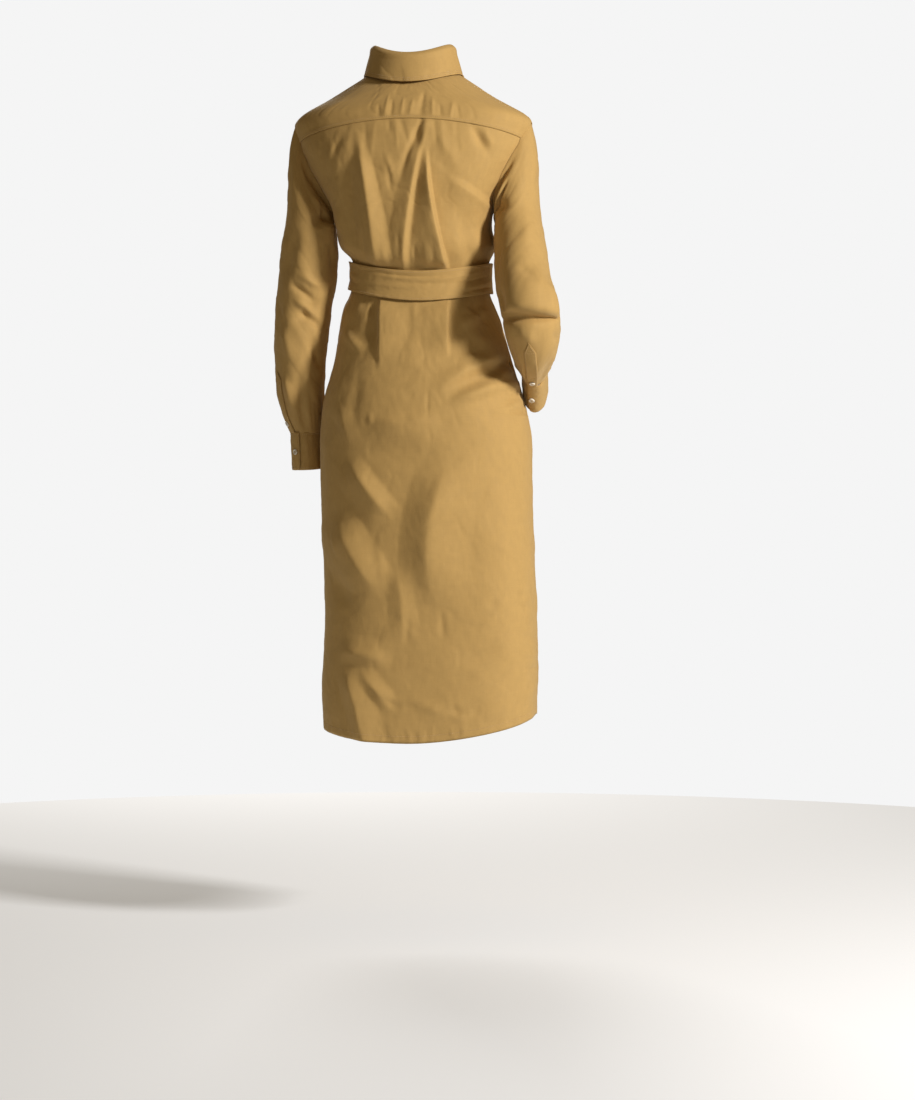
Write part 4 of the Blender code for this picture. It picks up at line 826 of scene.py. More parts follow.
# Folds of each sleeve, from (along0, angle0) to (along1, angle1): along is 0 at the armhole and 1
# at the cuff, angle is from the outer side towards the back; round: half width in degrees; rise:
# millimetres out or in; step: 1 where the cloth above the line rolls over the cloth below it.
LEFT_FOLDS = (
    # along0, angle0, along1, angle1, round, rise, step
    (0.1, 150, 0.34, 100, 17, -7, 0),
    (0.16, 165, 0.42, 140, 15, 6, 0),
    (0.28, 75, 0.52, 40, 17, -5.5, 0),
    (0.52, 160, 0.64, 70, 16, -6.5, 0),
    (0.6, 240, 0.68, 320, 19, -6, 0),
    (0.76, 100, 1, 98, 13, -6, 0),
    (0.8, 140, 1, 136, 14, 4, 0),
    (0.78, 250, 1, 250, 16, -5, 0),
    (0.028, 52, 0.034, 174, 10, -6.5, 0),
    (0.09, 112, 0.25, 168, 9, -7.5, 0),
    (0.07, 96, 0.19, 146, 8, 5, 0),
    (0.3, 140, 0.48, 165, 10, -4.5, 0),
    (0.455, 78, 0.5, 138, 7, 4.4, 0),
    (0.485, 62, 0.55, 130, 6.5, -6, 0),
    (0.54, 76, 0.6, 140, 7, 5, 0),
    (0.575, 86, 0.64, 156, 7, -6, 0),
    (0.56, 20, 0.6, 60, 9, -2.2, 0),
    (0.62, 56, 0.76, 84, 11, 4, 0),
    (0.66, 118, 0.8, 160, 10, -5, 0),
    (0.78, 60, 0.92, 78, 9, 3.6, 0),
    (0.5, 200, 0.56, 250, 10, -3, 0),
    (0.54, 235, 0.6, 290, 9, 2.8, 0),
    (0.2, 215, 0.33, 200, 10, -3.6, 0),
    (0.12, 250, 0.24, 225, 10, 3, 0),
    (0.64, 290, 0.74, 330, 10, -2.6, 0),
    (0.3, 290, 0.42, 320, 12, 2.2, 0),
)
ELBOW_FOLD = (0.708, -5, 0.655, 170, 8, 16, 1)
RIGHT_FOLDS = (
    (0.1, 140, 0.32, 110, 16, -6, 0),
    (0.12, 170, 0.4, 165, 15, -4, 0),
    ELBOW_FOLD,
    (0.7, 235, 0.72, 320, 22, -3, 0),
    (0.78, 50, 1, 62, 12, -2.2, 0),
    (0.8, 28, 1, 36, 12, 1.8, 0),
    (0.028, 56, 0.034, 174, 10, -6.5, 0),
    (0.08, 84, 0.19, 172, 7, -9, 0),
    (0.045, 96, 0.12, 152, 6, -4.5, 0),
    (0.06, 84, 0.155, 160, 6, 5, 0),
    (0.2, 120, 0.33, 150, 8, -3, 0),
    (0.33, 60, 0.48, 80, 12, 2, 0),
    (0.42, 130, 0.56, 158, 9, -3.4, 0),
    (0.56, 100, 0.64, 60, 9, -2.6, 0),
    (0.615, 172, 0.655, 118, 9, -7, 0),
    (0.694, 196, 0.716, -6, 5, -11, 0),
    (0.64, 60, 0.69, 14, 9, 4, 0),
    (0.7, 6, 0.708, 24, 5, -7, 0),
    (0.655, 30, 0.675, -14, 6, -3, 0),
    (0.735, 120, 0.755, 70, 8, 3, 0),
    (0.745, 40, 0.8, 10, 7, -3.4, 0),
    (0.77, 150, 0.86, 120, 9, -2.2, 0),
    (0.83, 20, 0.96, 14, 9, -1.8, 0),
    (0.8, 78, 0.96, 82, 8, 1.6, 0),
    (0.56, 215, 0.64, 260, 10, -3.6, 0),
    (0.61, 240, 0.68, 300, 9, 3.2, 0),
    (0.66, 200, 0.72, 235, 8, -5, 1),
    (0.2, 215, 0.33, 200, 10, -3.6, 0),
    (0.12, 250, 0.24, 225, 10, 3, 0),
    (0.35, 290, 0.48, 320, 12, 2.4, 0),
)
GATHER_ANGLES = (10, 34, 118, 138, 157, 178, 200, 219, 240, 262, 285, 309, 333)
cuff_gathers = tuple(
    (0.87 - 0.02 * (count % 3), angle - 3, 1, angle, 5.5, (1.8, -1.8)[count % 2], 0)
    for count, angle in enumerate(GATHER_ANGLES)
)
SLEEVE_FOLDS = {LEFT: LEFT_FOLDS + cuff_gathers, RIGHT: RIGHT_FOLDS + cuff_gathers}
FOLD_SCALE = 520.0  # degrees round the sleeve that are as long as the whole sleeve
HEAD_SHARE = 0.30  # the head's part of the sleeve's length
TURN_SHARE = 0.16  # how far ahead and behind a section looks for its way
HEAD_ROWS, TUBE_ROWS = 52, 149
SEAM_DEEP, TUCK_DOWN, TUCK_IN = 0.0016, 0.0040, 0.0024  # allowances at the armhole and in the cuff


def armhole_line(side):
    """The armhole as rows of turn, level and angle round the sleeve, from the tip by the back."""
    turns = tip_turns(side, TIP_STEPS)
    rear, fore = armhole_levels(YOKE_SEAM, RIM_STEPS), armhole_levels(CHEST_SEAM, RIM_STEPS)
    over_rear, over_fore = turns[TIP_STEPS:0:-1], turns[-2:TIP_STEPS:-1]
    parts = (
        (over_rear, yoke_edge(over_rear, side), np.linspace(0, 50, TIP_STEPS + 1)[:-1]),
        (back_edge(rear[::-1], side), rear[::-1], np.linspace(50, 180, RIM_STEPS + 1)),
        (front_edge(fore[1:], side), fore[1:], np.linspace(180, 310, RIM_STEPS + 1)[1:]),
        (over_fore, yoke_edge(over_fore, side), np.linspace(310, 360, TIP_STEPS + 1)[1:-1]),
    )
    return np.concatenate([np.stack(part, axis=-1) for part in parts])


def oval(side, row, towards, angle):
    """Points of an oval section square to a direction, at an angle from the sleeve's outer side."""
    towards = unit(towards)
    outer = unit(np.array((side, 0.0, 0.0)) - towards * (side * towards[..., :1]))
    rear = np.cross(outer, towards) * side
    cosine, sine = np.cos(np.radians(angle))[..., None], np.sin(np.radians(angle))[..., None]
    return row[..., :3] + outer * cosine * row[..., 3:4] + rear * sine * row[..., 4:5]


def sleeve_path(side):
    """The sleeve's rings with the share of its length in front of each row, and that length."""
    rows = SLEEVE_RINGS[side]
    steps = np.linalg.norm(np.diff(rows[:, :3], axis=0), axis=1)
    share = np.concatenate(((0,), np.cumsum(steps))) / steps.sum()
    return np.column_stack((share, rows)), steps.sum()


def sleeve_tube(side, share, angle):
    """Ovals along the sleeve's middle line, each square to the line's mean way around it."""
    share, angle = np.broadcast_arrays(np.asarray(share, float), np.asarray(angle, float))
    path, _ = sleeve_path(side)
    row = spline(path, share)[..., 1:]
    ahead, behind = np.clip(share + TURN_SHARE, 0, 1), np.clip(share - TURN_SHARE, 0, 1)
    towards = unit(spline(path, ahead)[..., 1:4] - spline(path, behind)[..., 1:4])
    cuff_way = unit(CUFF_ENDS[side][:3] - SLEEVE_RINGS[side][-1][:3])
    turn_over = smooth((share - 0.8) / 0.18)[..., None]
    return oval(side, row, towards * (1 - turn_over) + cuff_way * turn_over, angle)


def sleeve_form(side, seam, along, angle):
    """A cubic from each point of the armhole, down the shoulder's slope, into the tube's start."""
    cosine, sine = np.cos(np.radians(angle)), np.sin(np.radians(angle))
    lean = 0.5 + 0.5 * cosine
    leave = (side * (0.10 + 0.20 * lean), 0.35 * sine, -0.75 - 0.15 * cosine)
    leave = unit(np.stack(leave, axis=-1))
    first = sleeve_tube(side, 0, angle)
    arrive = unit(sleeve_tube(side, 0.02, angle) - first)
    start = seam + leave * (0.0008 + 0.0010 * lean[..., None] ** 2)
    reach = np.linalg.norm(first - start, axis=-1, keepdims=True) * 0.36
    t = np.clip(along / HEAD_SHARE, 0, 1)[..., None]
    head = start * (1 - t) ** 3 + (start + leave * reach) * 3 * t * (1 - t) ** 2
    head = head + (first - arrive * reach) * 3 * t * t * (1 - t) + first * t**3
    tube = sleeve_tube(side, np.clip((along - HEAD_SHARE) / (1 - HEAD_SHARE), 0, 1), angle)
    return np.where((along < HEAD_SHARE)[..., None], head, tube)


def beside_fold(along, angle, fold):
    """Share of the way along a sleeve's fold, and distances off it and above it in half widths."""
    along0, angle0, along1, angle1, wide = fold[:5]
    line_a, line_b = (along1 - along0) * FOLD_SCALE, angle1 - angle0
    length = np.hypot(line_a, line_b)
    ahead, round_by = (along - along0) * FOLD_SCALE, (angle - angle0 + 180) % 360 - 180
    part = np.clip((ahead * line_a + round_by * line_b) / length**2, 0, 1)
    off = np.hypot(ahead - part * line_a, round_by - part * line_b) / wide
    return part, off, (round_by * line_a - ahead * line_b) / length / wide


def sleeve_depth(side, along, angle):
    """How far out a sleeve's cloth lies: its folds, as on the body, and small relief in two sizes.

    Folds are held down at the cuff. The relief has none at the armhole and little at the cuff.
    """
    depth = np.zeros(np.broadcast(along, angle).shape)
    for fold in SLEEVE_FOLDS[side]:
        _, _, along1, _, wide, rise, step = fold
        part, off, above = beside_fold(along, angle, fold)
        shape = np.exp(-(off**2))
        if step:
            beyond = np.sqrt(np.maximum(off**2 - above**2, 0)) * wide / 30
            shape = smooth(above / 2 + 0.5) * np.exp(-((np.maximum(above, 0) / 5) ** 2) - beyond**2)
        depth = depth + rise / 1000 * tapered(part, 0, along1 == 1, 0.4) * shape
    near_cuff = smooth((along - 0.93) / 0.07)
    round_way, down = np.radians(angle), along * 0.42 + 0.05 * np.cos(np.radians(angle))
    small = 0.00025 * crumple(0.05 * np.sin(round_way), down, 31 + int(side), 0.018)
    small = small + 0.0008 * crumple(0.05 * np.sin(round_way), down, 41 + int(side), 0.055)
    return depth * (1 - 0.85 * near_cuff) + small * smooth(along / 0.06) * (1 - 0.8 * near_cuff)


def elbow_roll(along, angle):
    """How far the cloth over the bent elbow hangs down past its fold: a hump above that line."""
    part, _, above = beside_fold(along, angle, ELBOW_FOLD)
    return 0.015 * hump(above, 0.7, 2.2) * smooth(part / 0.14) * smooth((1 - part) / 0.16)


tube_rows = np.linspace(HEAD_SHARE, 1, TUBE_ROWS + 1)[1:]
sleeve_rows = np.concatenate((np.linspace(0, HEAD_SHARE, HEAD_ROWS), tube_rows))
for side, name in SIDES:
    rim = armhole_line(side)
    rim_turns, rim_levels = side * rim[:, 0], rim[:, 1]
    seam = body(rim_turns, rim_levels)[None]
    angle, along = np.meshgrid(rim[:, 2], sleeve_rows)
    form = sleeve_form(side, seam, along, angle)
    down_way = np.gradient(form, axis=0)
    normal = unit(np.cross(down_way, np.roll(form, -1, axis=1) - np.roll(form, 1, axis=1))) * side
    down_way = unit(down_way)
    form = form + normal * sleeve_depth(side, along, angle)[..., None]
    if side == RIGHT:
        form = form + down_way * elbow_roll(along, angle)[..., None]
    sunk = seam - body_normal(rim_turns, rim_levels)[None] * SEAM_DEEP
    tucked = form[-1:] + down_way[-1:] * TUCK_DOWN - normal[-1:] * TUCK_IN
    points = np.concatenate((sunk, form, tucked))
    piece = cloth_piece(f"sleeve_tube_{name}", points, cotton, closed=True, flip=side < 0)
    fit(piece, [f"sleeve_{name}"])

# ---- Cuffs -------------------------------------------------------------------------------------
# Doubled bands sewn to the gathered ends of the sleeves, each wrapped once round and lapped over
# itself under a button, with a rounded lower corner and a line of stitching inside its edges.

CUFF_LAP, CUFF_LAP_HIGH = 32.0, 0.0030  # degrees that the cuff overlaps itself, and how far out
CUFF_LAP_AT = {LEFT: 74.0, RIGHT: 112.0}  # angle of the lap's outer edge
CUFF_CORNER, CUFF_RADIUS, CUFF_SEAM = 0.012, 0.034, -0.03  # seam: share of its length above its top


def cuff_form(side, down, angle, out):
    """Ovals from the sleeve's last ring to the cuff's end, widened by out."""
    top, end = SLEEVE_RINGS[side][-1], CUFF_ENDS[side]
    down, angle, out = np.broadcast_arrays(*(np.asarray(a, float) for a in (down, angle, out)))
    row = top + (end - top) * down[..., None]
    row = np.concatenate((row[..., :3], row[..., 3:] + out[..., None]), axis=-1)
    return oval(side, row, np.broadcast_to(end[:3] - top[:3], row[..., :3].shape), angle)


cuff_share = np.linspace(1, 0, 34)[:, None]
cuff_edge = np.minimum(cuff_share, 1 - cuff_share)
cuff_soft = -0.0004 * bell(cuff_edge, 0, 0.03) - 0.0003 * bell(cuff_edge, 0.09, 0.025)
for side, name in SIDES:
    angle = np.linspace(CUFF_LAP_AT[side] - 360 - CUFF_LAP, CUFF_LAP_AT[side], 170)
    lap = CUFF_LAP_HIGH * smooth((angle - angle[0] - 300) / 50)
    length = np.linalg.norm(CUFF_ENDS[side][:3] - SLEEVE_RINGS[side][-1][:3])
    left_over = np.radians(angle[-1] - angle) * CUFF_RADIUS
    corner_in = np.clip(CUFF_CORNER - left_over, 0, CUFF_CORNER)
    corner = CUFF_CORNER - np.sqrt(CUFF_CORNER**2 - corner_in**2)
    down = CUFF_SEAM + (1 - corner / length - CUFF_SEAM) * cuff_share
    rough = 0.0005 * crumple(np.radians(angle) * 0.035, down * 0.06, 51 + int(side), 0.02)
    points = cuff_form(side, down, angle, lap + cuff_soft + rough)
    piece = cloth_piece(f"cuff_band_{name}", points, cotton, 0.0018, flip=side > 0)
    fit(piece, [f"cuff_{name}"])

# ---- Plackets ----------------------------------------------------------------------------------
# Each sleeve's slit is bound by a strip with a pointed top, laid on the sleeve and stitched round.

PLACKET_AT = {LEFT: 38.0, RIGHT: 92.0}
PLACKET_WIDTH, PLACKET_LENGTH, PLACKET_POINT, PLACKET_OUT = 0.022, 0.105, 0.012, 0.0022


def placket_form(side, up, across, out):
    """The strip on the sleeve's tube: up runs from the cuff in metres, across from -1 to 1."""
    path, total = sleeve_path(side)
    up, across = np.broadcast_arrays(np.asarray(up, float), np.asarray(across, float))
    share = 1 - up / total
    row = spline(path, share)
    taper = np.clip((PLACKET_LENGTH - up) / PLACKET_POINT, 0.02, 1)
    half = np.degrees(PLACKET_WIDTH / 2 / (0.5 * row[..., 4] + 0.5 * row[..., 5])) * taper
    angle = PLACKET_AT[side] + half * across
    normal = surface_normal(lambda s, a: sleeve_tube(side, s, a), share, angle, 0.01, 1.0) * -side
    depth = sleeve_depth(side, HEAD_SHARE + (1 - HEAD_SHARE) * share, angle) + out
    return sleeve_tube(side, share, angle) + normal * depth[..., None], normal


for side, name in SIDES:
    up, across = np.linspace(0.0005, PLACKET_LENGTH, 50)[:, None], np.linspace(-1, 1, 15)
    lower = 0.0004 * smooth((up - 0.07) / 0.03) + 0.0004 * bell(np.abs(across), 1, 0.12)
    points, _ = placket_form(side, up, across, PLACKET_OUT - lower)
    piece = cloth_piece(f"placket_strip_{name}", points, cotton, 0.0012, flip=side > 0)
    fit(piece, [f"placket_{name}"])

# ---- Belt --------------------------------------------------------------------------------------
# A doubled sash of the same cotton round the waist, tied at centre front, so that one end wraps
# over the other and both hang down from under the knot.

BELT_HALF, BELT_OUT = 0.026, 0.0064  # half its width, and how far its face is off the plain body
belt_turns, belt_share = np.meshgrid(np.linspace(-180, 180, 241)[:-1], np.linspace(-1, 1, 34))
belt_level = BELT + belt_share * BELT_HALF
BELT_CREASES = (
    # turn0, turn1, share0, share1, half width as a share, rise in millimetres
    (40, -34, 0.62, 0.55, 0.1, -1.4),
    (30, -20, 0.38, 0.46, 0.12, 1.2),
    (20, -44, 0.16, 0.04, 0.1, -1.2),
    (34, -8, -0.2, -0.12, 0.14, 1.1),
    (-8, -60, 0.3, 0.5, 0.12, 1.5),
    (-16, -78, -0.14, 0.16, 0.11, -1.6),
    (-30, -86, -0.44, -0.2, 0.12, 1.5),
    (-38, -90, -0.66, -0.52, 0.09, -1.4),
    (78, 44, 0.2, -0.1, 0.14, 1.2),
    (84, 50, -0.32, -0.44, 0.12, -1.2),
    (150, 96, 0.3, 0.1, 0.14, 1.3),
    (160, 110, -0.1, -0.36, 0.12, -1.3),
    (-150, -100, 0.42, 0.2, 0.14, -1.3),
    (-164, -112, -0.3, 0.02, 0.12, 1.4),
)
belt_out = BELT_OUT - 0.0005 * bell(np.abs(belt_share), 1, 0.05)
belt_out = belt_out + 0.0003 * crumple(belt_turns * 0.0015, belt_level, 61, 0.014)
for turn0, turn1, share0, share1, half, rise in BELT_CREASES:
    part = (belt_turns - turn0) / (turn1 - turn0)
    crease = bell(belt_share, share0 + (share1 - share0) * part, half)
    belt_out = belt_out + rise / 1000 * crease * hump(part, 0.5, 0.75)
belt_normal = body_normal(belt_turns, belt_level)
belt_points = body_form(belt_turns, belt_level) + belt_normal * belt_out[..., None]
belt_piece = cloth_piece("belt_band", belt_points, cotton, 0.0018, closed=True)
fit(belt_piece, ["belt"])

KNOT_DEEP, KNOT_HIGH, KNOT_DOWN = 0.0135, 0.029, 0.004
# Pleats: middle, how far it leans, half width, depth. Tucks: size as a share, how far in.
KNOT_PLEATS = ((0.42, 0.20, 0.10, 0.24), (-0.02, 0.34, 0.09, 0.20), (-0.46, 0.16, 0.08, 0.16))
KNOT_TUCKS = ((0.84, 0.0010), (0.76, 0.0110), (0.04, 0.0140))  # each side edge, turned in
knot_front = np.array((0, BELT_OUT + KNOT_DEEP + 0.0004, KNOT_DOWN))
knot_middle = body_form(np.array(180.0), np.array(BELT)) - knot_front
knot_turn, knot_across = np.meshgrid(np.linspace(0, 360, 97)[:-1], np.linspace(-1, 1, 61))
knot_up, knot_fore = np.cos(np.radians(knot_turn)), np.sin(np.radians(knot_turn))
knot_pleats = 0
for middle, lean, half, sink in KNOT_PLEATS:
    pleat = np.abs((knot_across - middle - lean * knot_up) / half) ** 1.5
    knot_pleats = knot_pleats - sink * np.exp(-pleat)
knot_body = (1 - 0.30 * np.abs(knot_across) ** 5) * (1 + knot_pleats)
knot_x = knot_across * (0.0185 + 0.0055 * knot_up**2) + 0.0045 * knot_up
knot_y = -KNOT_DEEP * knot_body * np.sign(knot_fore) * np.abs(knot_fore) ** 0.8
knot_z = KNOT_HIGH * (1 - 0.10 * np.abs(knot_across) ** 4) * (1 + 0.25 * knot_pleats) * knot_up
knot_ring = knot_middle + np.stack((knot_x, knot_y, knot_z), axis=-1)
knot_ends = []
for end, way in ((0, 1), (-1, -1)):
    rim = knot_ring[end]
    centre = rim.mean(axis=0)
    for share, inward in KNOT_TUCKS:
        knot_ends.append(centre + (rim - centre) * share + np.array((way * inward, 0, 0)))
knot_points = np.stack((*knot_ends[2::-1], *knot_ring, *knot_ends[3:]))
knot_piece = cloth_piece("belt_knot_wrap", knot_points, cotton, 0.0012, closed=True, flip=True)
fit(knot_piece, ["belt_knot"])

TAIL_HALF, TAIL_TOP = 0.021, -0.3700
tail_across = np.linspace(-1, 1, 21)
for number, swing, low, length in ((1, -1.0, -0.700, 0.363), (2, 1.0, -0.665, 0.331)):
    levels = np.linspace(low, TAIL_TOP, 110)[:, None]
    down = (TAIL_TOP - levels) / (TAIL_TOP - low)
    opened = smooth(down / 0.3)
    half = np.degrees(TAIL_HALF / spline(BODY_RINGS, levels)[..., 4]) * (0.52 + 0.48 * opened)
    tail_turns = 180 + swing * (6.5 + 7.0 * opened + 3.0 * down) + half * tail_across
    tail_out = 0.012 + 0.002 * np.sin(5 * down) + 0.0015 * np.cos(3 * tail_across + down)
    tail_out = tail_out + 0.0006 * crumple(tail_across * 0.02, levels, 70 + number, 0.02)
    points = body(tail_turns, levels, tail_out, rough=0.0)
    piece = cloth_piece(f"belt_tail_strip_{number}", points, cotton, 0.0018)
    fit(piece, [f"belt_tail_{number}"])

# ---- Buttons -----------------------------------------------------------------------------------
# Round pearly buttons with a raised rim and four holes, sewn on with crossed thread: nine down the
# front, and one on each cuff and each placket.

BUTTON_RADIUS, BUTTON_DEPTH, HOLE_OFF = 0.0050, 0.0024, 0.23
BUTTON_LEVELS = np.concatenate((np.linspace(-0.012, -0.262, 4), np.linspace(-0.392, -0.872, 5)))


def button_form():
    """A button facing +z: a disc on a polar grid with a rim and four dents.

    Height over the radius is a rim's bell plus a flat middle, less a bell at each hole.
    """
    ring, spoke = np.linspace(0, 1, 17)[:, None], np.radians(np.linspace(0, 360, 41)[:-1])
    x, y = ring * np.cos(spoke), ring * np.sin(spoke)
    height = 0.68 + 0.30 * bell(ring, 0.80, 0.13) + 0 * x
    for along, up in ((1, 1), (-1, 1), (-1, -1), (1, -1)):
        from_hole = (x - along * HOLE_OFF) ** 2 + (y - up * HOLE_OFF) ** 2
        height = height - 0.75 * bell(from_hole, 0, 0.012)
    height = height * np.sqrt(np.clip(1 - ((ring - 0.9) / 0.1).clip(0) ** 2, 0, 1))
    top = np.stack((x * BUTTON_RADIUS, y * BUTTON_RADIUS, height * BUTTON_DEPTH), axis=-1)
    under = top[::-1] * np.array((0.97, 0.97, 0))
    return np.concatenate((top, under))


def stack_rings(name, shapes, finish):
    """One piece of several closed forms, each a stack of rings that starts and ends at a point."""
    count, rings, spokes = shapes.shape[:3]
    sides = quads(wrapped(np.arange(rings * spokes).reshape(rings, spokes)))
    faces = sides + (np.arange(count) * rings * spokes)[:, None, None, None]
    made = add_mesh(name, shapes, faces, finish)
    poles = bmesh.new()
    poles.from_mesh(made.data)
    bmesh.ops.remove_doubles(poles, verts=poles.verts, dist=0.0000005)
    poles.to_mesh(made.data)
    poles.free()
    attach(made, "root")
    return made


def clouded_finish(name, scale, detail, dark, light, values):
    """A finish whose colour varies between two with a fine noise in the object's own space."""
    made, tree, shader = new_finish(name)
    place = node(tree, "TexCoord").outputs["Object"]
    cloud = node(tree, "TexNoise", {"Vector": place, "Scale": scale, "Detail": detail})
    feed(shader, {"Base Color": two_tone(tree, cloud.outputs["Fac"], dark, light), **values})
    return made


pearl = clouded_finish("pearl button", 420.0, 3.0, (0.62, 0.55, 0.43), (0.86, 0.82, 0.73),
                       {"Roughness": 0.28, "Coat Weight": 0.4})
thread = clouded_finish("tan thread", 2500.0, 2.0, (0.40, 0.24, 0.08), (0.60, 0.39, 0.15),
                        {"Roughness": 0.55, "Sheen Weight": 0.3})


def upright_ways(facing):
    """Three unit vectors for each facing: level and square to it, as upright as can be, itself."""
    facing = unit(facing)
    sideways = unit(np.cross(UP, facing))
    return np.stack((sideways, np.cross(facing, sideways), facing), axis=-2)


def place_forms(shape, places, ways):
    """Copies of a form at the places, its x, y and z along the three ways of each."""
    return places[:, None, None] + np.einsum("rsk,nkd->nrsd", shape, ways)


button_places = {}
for number, level in enumerate(BUTTON_LEVELS, 1):
    place = body(180.0, level, BAND_OUT + 0.0002)
    button_places[f"front_{number}"] = place, body_normal(np.array(180.0), level)
for side, name in SIDES:
    middle, angle = np.array(0.5), np.array(CUFF_LAP_AT[side] - CUFF_LAP / 2)
    lapped = lambda d, a, s=side: cuff_form(s, d, a, CUFF_LAP_HIGH)
    facing = surface_normal(lapped, middle, angle, 0.01, 1.0) * -side
    button_places[f"cuff_{name}"] = lapped(middle, angle) + facing * 0.0003, facing
    button_places[f"placket_{name}"] = placket_form(side, 0.0175, 0.0, PLACKET_OUT + 0.0002)
for name, (place, facing) in button_places.items():
    shape = place_forms(button_form(), place[None], upright_ways(facing[None]))
    piece = stack_rings(f"shirt_button_{name}", shape, pearl)
    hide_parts(f"button_{name}")

# ---- Sewing ------------------------------------------------------------------------------------
# Lockstitch in tan thread, about eight stitches to the inch: along every turned or folded edge, in
# two rows round the collar, and twice across each placket's top. Buttonholes are closely overcast.

STITCH, PITCH, THREAD_HALF = 0.0024, 0.0031, 0.00036
HOLE_HALF, HOLE_PITCH, HOLE_STITCH = 0.0070, 0.00055, 0.0017
BOTH_ENDS = ("first column", "last column")


def edge_line(name, edge, inset, rows=slice(None), part=slice(None)):
    """A line on a cloth piece at a distance in from one of its edges, with the normals there.

    Each grid line that leaves the edge is cut where its length reaches the inset.
    """
    points, closed, facing = grids[name]
    points = points[rows]
    if closed:
        points = wrapped(points)
    normal = unit(np.cross(np.gradient(points, axis=0), np.gradient(points, axis=1)) * facing)
    if edge.endswith("column"):
        points, normal = points.swapaxes(0, 1), normal.swapaxes(0, 1)
    if edge.startswith("last"):
        points, normal = points[::-1], normal[::-1]
    steps = np.linalg.norm(np.diff(points, axis=0), axis=-1)
    length = np.concatenate((np.zeros((1, points.shape[1])), np.cumsum(steps, axis=0)))
    row = np.clip((length < inset).sum(axis=0), 1, len(points) - 1)
    line = np.arange(points.shape[1])
    share = (inset - length[row - 1, line]) / (length[row, line] - length[row - 1, line])
    cut = points[row - 1, line] * (1 - share[:, None]) + points[row, line] * share[:, None]
    return cut[part], normal[row, line][part]


def stitch_forms(line, normal, pitch=PITCH, size=STITCH, crosswise=False):
    """Beads of thread at even steps along a line: four sides, thickest over their middle half."""
    length = np.concatenate(((0,), np.cumsum(np.linalg.norm(np.diff(line, axis=0), axis=1))))
    at = np.arange(pitch / 2, length[-1], pitch)
    place, up, ahead = (
        np.stack([np.interp(at, length, values[:, axis]) for axis in range(3)], axis=-1)
        for values in (line, normal, np.gradient(line, axis=0))
    )
    up = unit(up)
    side_way = unit(np.cross(up, ahead))
    if crosswise:
        ways = (side_way, np.cross(up, side_way), up)
    else:
        ways = (np.cross(side_way, up), side_way, up)
    reach = np.array((-0.5, -0.32, 0.32, 0.5))[:, None] * size + np.zeros(4)
    thick = np.array((0.0, 1.0, 1.0, 0.0))[:, None] * THREAD_HALF
    shape = (reach, thick * np.array((1, 0, -1, 0)), thick * np.array((0, -0.8, 0, 0.8)) + 0.00008)
    return place_forms(np.stack(shape, axis=-1), place, np.stack(ways, axis=-2))


def level_rows(low, high):
    """Grid rows of a back or front between two levels, past the hem's three turned rows."""
    first, last = np.searchsorted(skirt_rows, (low, high))
    return slice(3 + first, 3 + last)


vent_rows = level_rows(HEM + 0.012, VENT_TOP)
pocket_rows = level_rows(POCKET_MIDDLE - 0.062, POCKET_MIDDLE + 0.062)
over_tip = slice(2 * TIP_STEPS, -2 * TIP_STEPS)
seams = {
    "panels": [
        edge_line("yoke_panel", "first row", 0.0042, part=over_tip),
        *(edge_line("yoke_panel", end, 0.0025) for end in BOTH_ENDS),
        *(edge_line("front_band_strip", end, 0.0029) for end in BOTH_ENDS),
    ],
    "collar": [
        *(edge_line("fall_leaf", "last row", inset) for inset in (0.0028, 0.0062)),
        *(edge_line("fall_leaf", end, 0.0030, rows=slice(20, 54)) for end in BOTH_ENDS),
        edge_line("stand_band", "first row", 0.0040),
    ],
    "sleeves": [],
    "belt": [edge_line("belt_band", end, 0.0032) for end in ("first row", "last row")],
}
for panel, ends in (
    ("back_panel", BOTH_ENDS),
    ("front_panel_left", BOTH_ENDS[:1]),
    ("front_panel_right", BOTH_ENDS[1:]),
):
    seams["panels"].append(edge_line(panel, "first row", 0.0120, rows=slice(3, None)))
    for end in ends:
        seams["panels"].append(edge_line(panel, end, 0.0070, rows=vent_rows))
        if panel != "back_panel":
            seams["panels"].append(edge_line(panel, end, 0.0060, rows=pocket_rows))
for _, name in SIDES:
    cuff, strip = f"cuff_band_{name}", f"placket_strip_{name}"
    seams["sleeves"] += [
        *(edge_line(cuff, end, 0.0045) for end in ("first row", "last row")),
        edge_line(cuff, "last column", 0.0045, rows=slice(3, 31)),
        *(edge_line(strip, end, 0.0024, rows=slice(0, 48)) for end in BOTH_ENDS),
        *(edge_line(strip, "last row", inset, part=slice(2, -2)) for inset in (0.018, 0.024)),
    ]
for number in (1, 2):
    for end in (*BOTH_ENDS, "first row"):
        seams["belt"].append(edge_line(f"belt_tail_strip_{number}", end, 0.0030))
for name, lines in seams.items():
    stitches = np.concatenate([stitch_forms(*line) for line in lines])
    stack_rings(f"stitching_{name}", stitches, thread)

hole_rows = np.linspace(-HOLE_HALF, HOLE_HALF, 9)
hole_forms = []
for level in BUTTON_LEVELS:
    for turn in (180 - 0.42, 180 + 0.42):
        rim = body(turn, level + hole_rows, BAND_OUT + 0.0001)
        facing = body_normal(np.full(9, turn), level + hole_rows)
        hole_forms.append(stitch_forms(rim, facing, HOLE_PITCH, HOLE_STITCH, crosswise=True))
stack_rings("buttonholes", np.concatenate(hole_forms), thread)

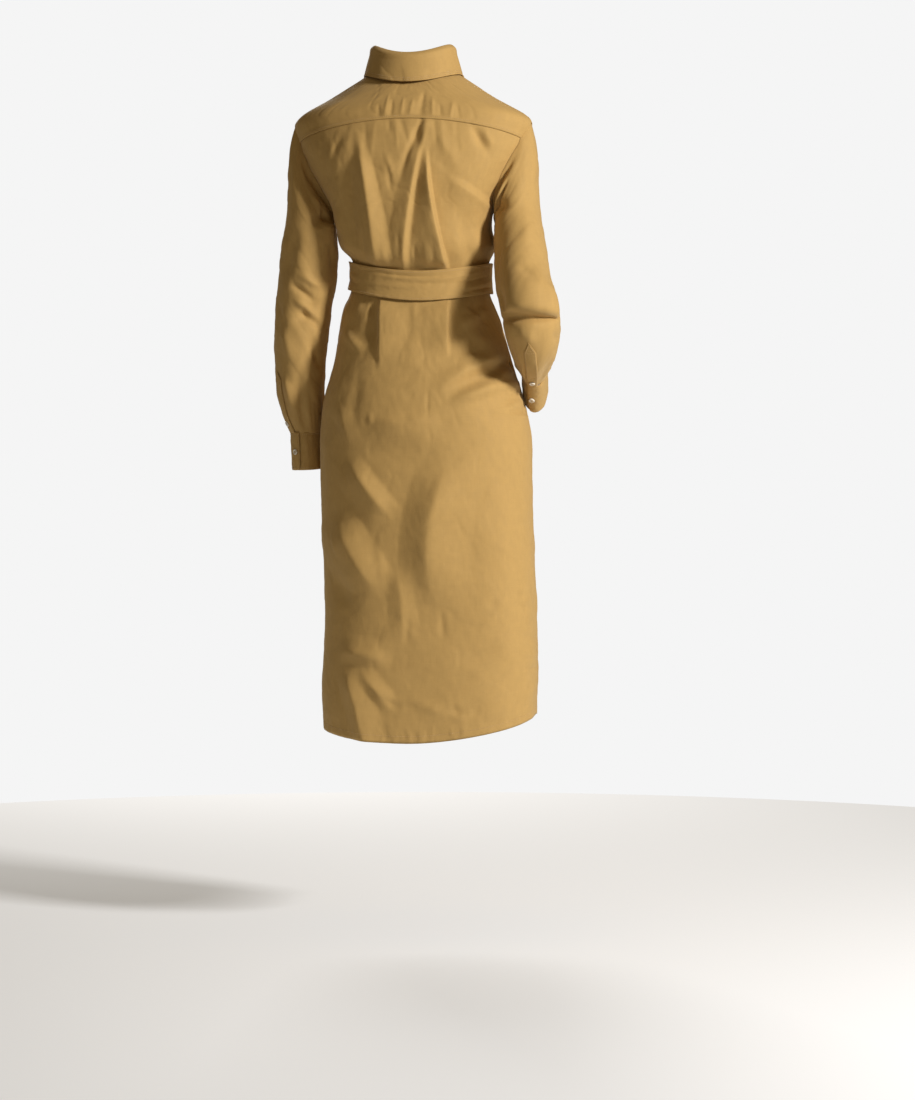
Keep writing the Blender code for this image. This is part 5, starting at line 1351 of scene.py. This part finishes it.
CROSS_HALF = 0.0017
cross_forms = []
for place, facing in button_places.values():
    sideways, upright, _ = upright_ways(facing[None])[0]
    for diagonal in (sideways + upright, sideways - upright):
        reach = diagonal * np.array((-CROSS_HALF, CROSS_HALF))[:, None]
        line = place + facing * BUTTON_DEPTH * 0.72 + reach
        size = 2 * CROSS_HALF
        cross_forms.append(stitch_forms(line, np.stack((facing, facing)), size * 2**0.5, size))
stack_rings("button_threads", np.concatenate(cross_forms), thread)

# ---- Studio ------------------------------------------------------------------------------------
# A pale round floor and an even pale background, a broad soft key light high on the right side of
# the view, a weak one in front, and a camera behind the dress, a little below its middle.

FLOOR_LEVEL, FLOOR_RADIUS = -1.400, 2.1
paper, _, paper_shader = new_finish("pale floor")
feed(paper_shader, {"Base Color": (0.82, 0.84, 0.88, 1), "Roughness": 0.95})
floor_turns, floor_share = np.meshgrid(np.linspace(90, -270, 97)[:-1], np.linspace(0, 1, 9))
floor_points = level_way(floor_turns) * (FLOOR_RADIUS * floor_share)[..., None] + UP * FLOOR_LEVEL
floor_faces = quads(wrapped(np.arange(floor_turns.size).reshape(floor_turns.shape)))
add_mesh("studio_floor", floor_points, floor_faces, paper)

world = bpy.data.worlds.new("studio")
bpy.context.scene.world = world
world.use_nodes = True
air = world.node_tree
air.nodes.clear()
shown = node(air, "Background", {"Color": (0.913, 0.913, 0.913, 1), "Strength": 1.0})
fill = node(air, "Background", {"Color": (1.0, 0.85, 0.60, 1), "Strength": 0.20})
seen = node(air, "LightPath").outputs["Is Camera Ray"]
choose = node(air, "MixShader", {0: seen, 1: fill.outputs[0], 2: shown.outputs[0]})
node(air, "OutputWorld", {0: choose.outputs[0]})


def place_facing(made, place, aim):
    """Puts an object in the scene at a place, its -Z towards a point and its Y up."""
    made.location = place
    made.rotation_euler = (Vector(aim) - Vector(place)).to_track_quat("-Z", "Y").to_euler()
    bpy.context.scene.collection.objects.link(made)


def softbox(name, place, aim, size, power):
    """A square, slightly warm area light that faces a point."""
    lamp = bpy.data.lights.new(name, "AREA")
    lamp.shape, lamp.size, lamp.energy, lamp.color = "SQUARE", size, power, (1.0, 0.97, 0.93)
    place_facing(bpy.data.objects.new(name, lamp), place, aim)


softbox("key", (-3.0, 1.8, 0.85), (0, 0, -0.60), 0.6, 160)
softbox("front_key", (0.9, -3.4, 0.9), (0, 0, -0.55), 1.4, 85)

AZIMUTH, DISTANCE, EYE_HEIGHT = np.radians(187.5), 5.0, -0.637
AIM_RIGHT, AIM_HEIGHT = 44 / 600, -0.77  # the middle of the view, to the right of the dress's
camera_data = bpy.data.cameras.new("camera")
camera_data.sensor_width, camera_data.lens = 36.0, 36.0 * 3000 / 1100
camera = bpy.data.objects.new("camera", camera_data)
sine, cosine = float(np.sin(AZIMUTH)), float(np.cos(AZIMUTH))
aim = (cosine * AIM_RIGHT, sine * AIM_RIGHT, AIM_HEIGHT)
place_facing(camera, (DISTANCE * sine, -DISTANCE * cosine, EYE_HEIGHT), aim)
bpy.context.scene.camera = camera
bpy.context.scene.view_settings.view_transform = "Standard"
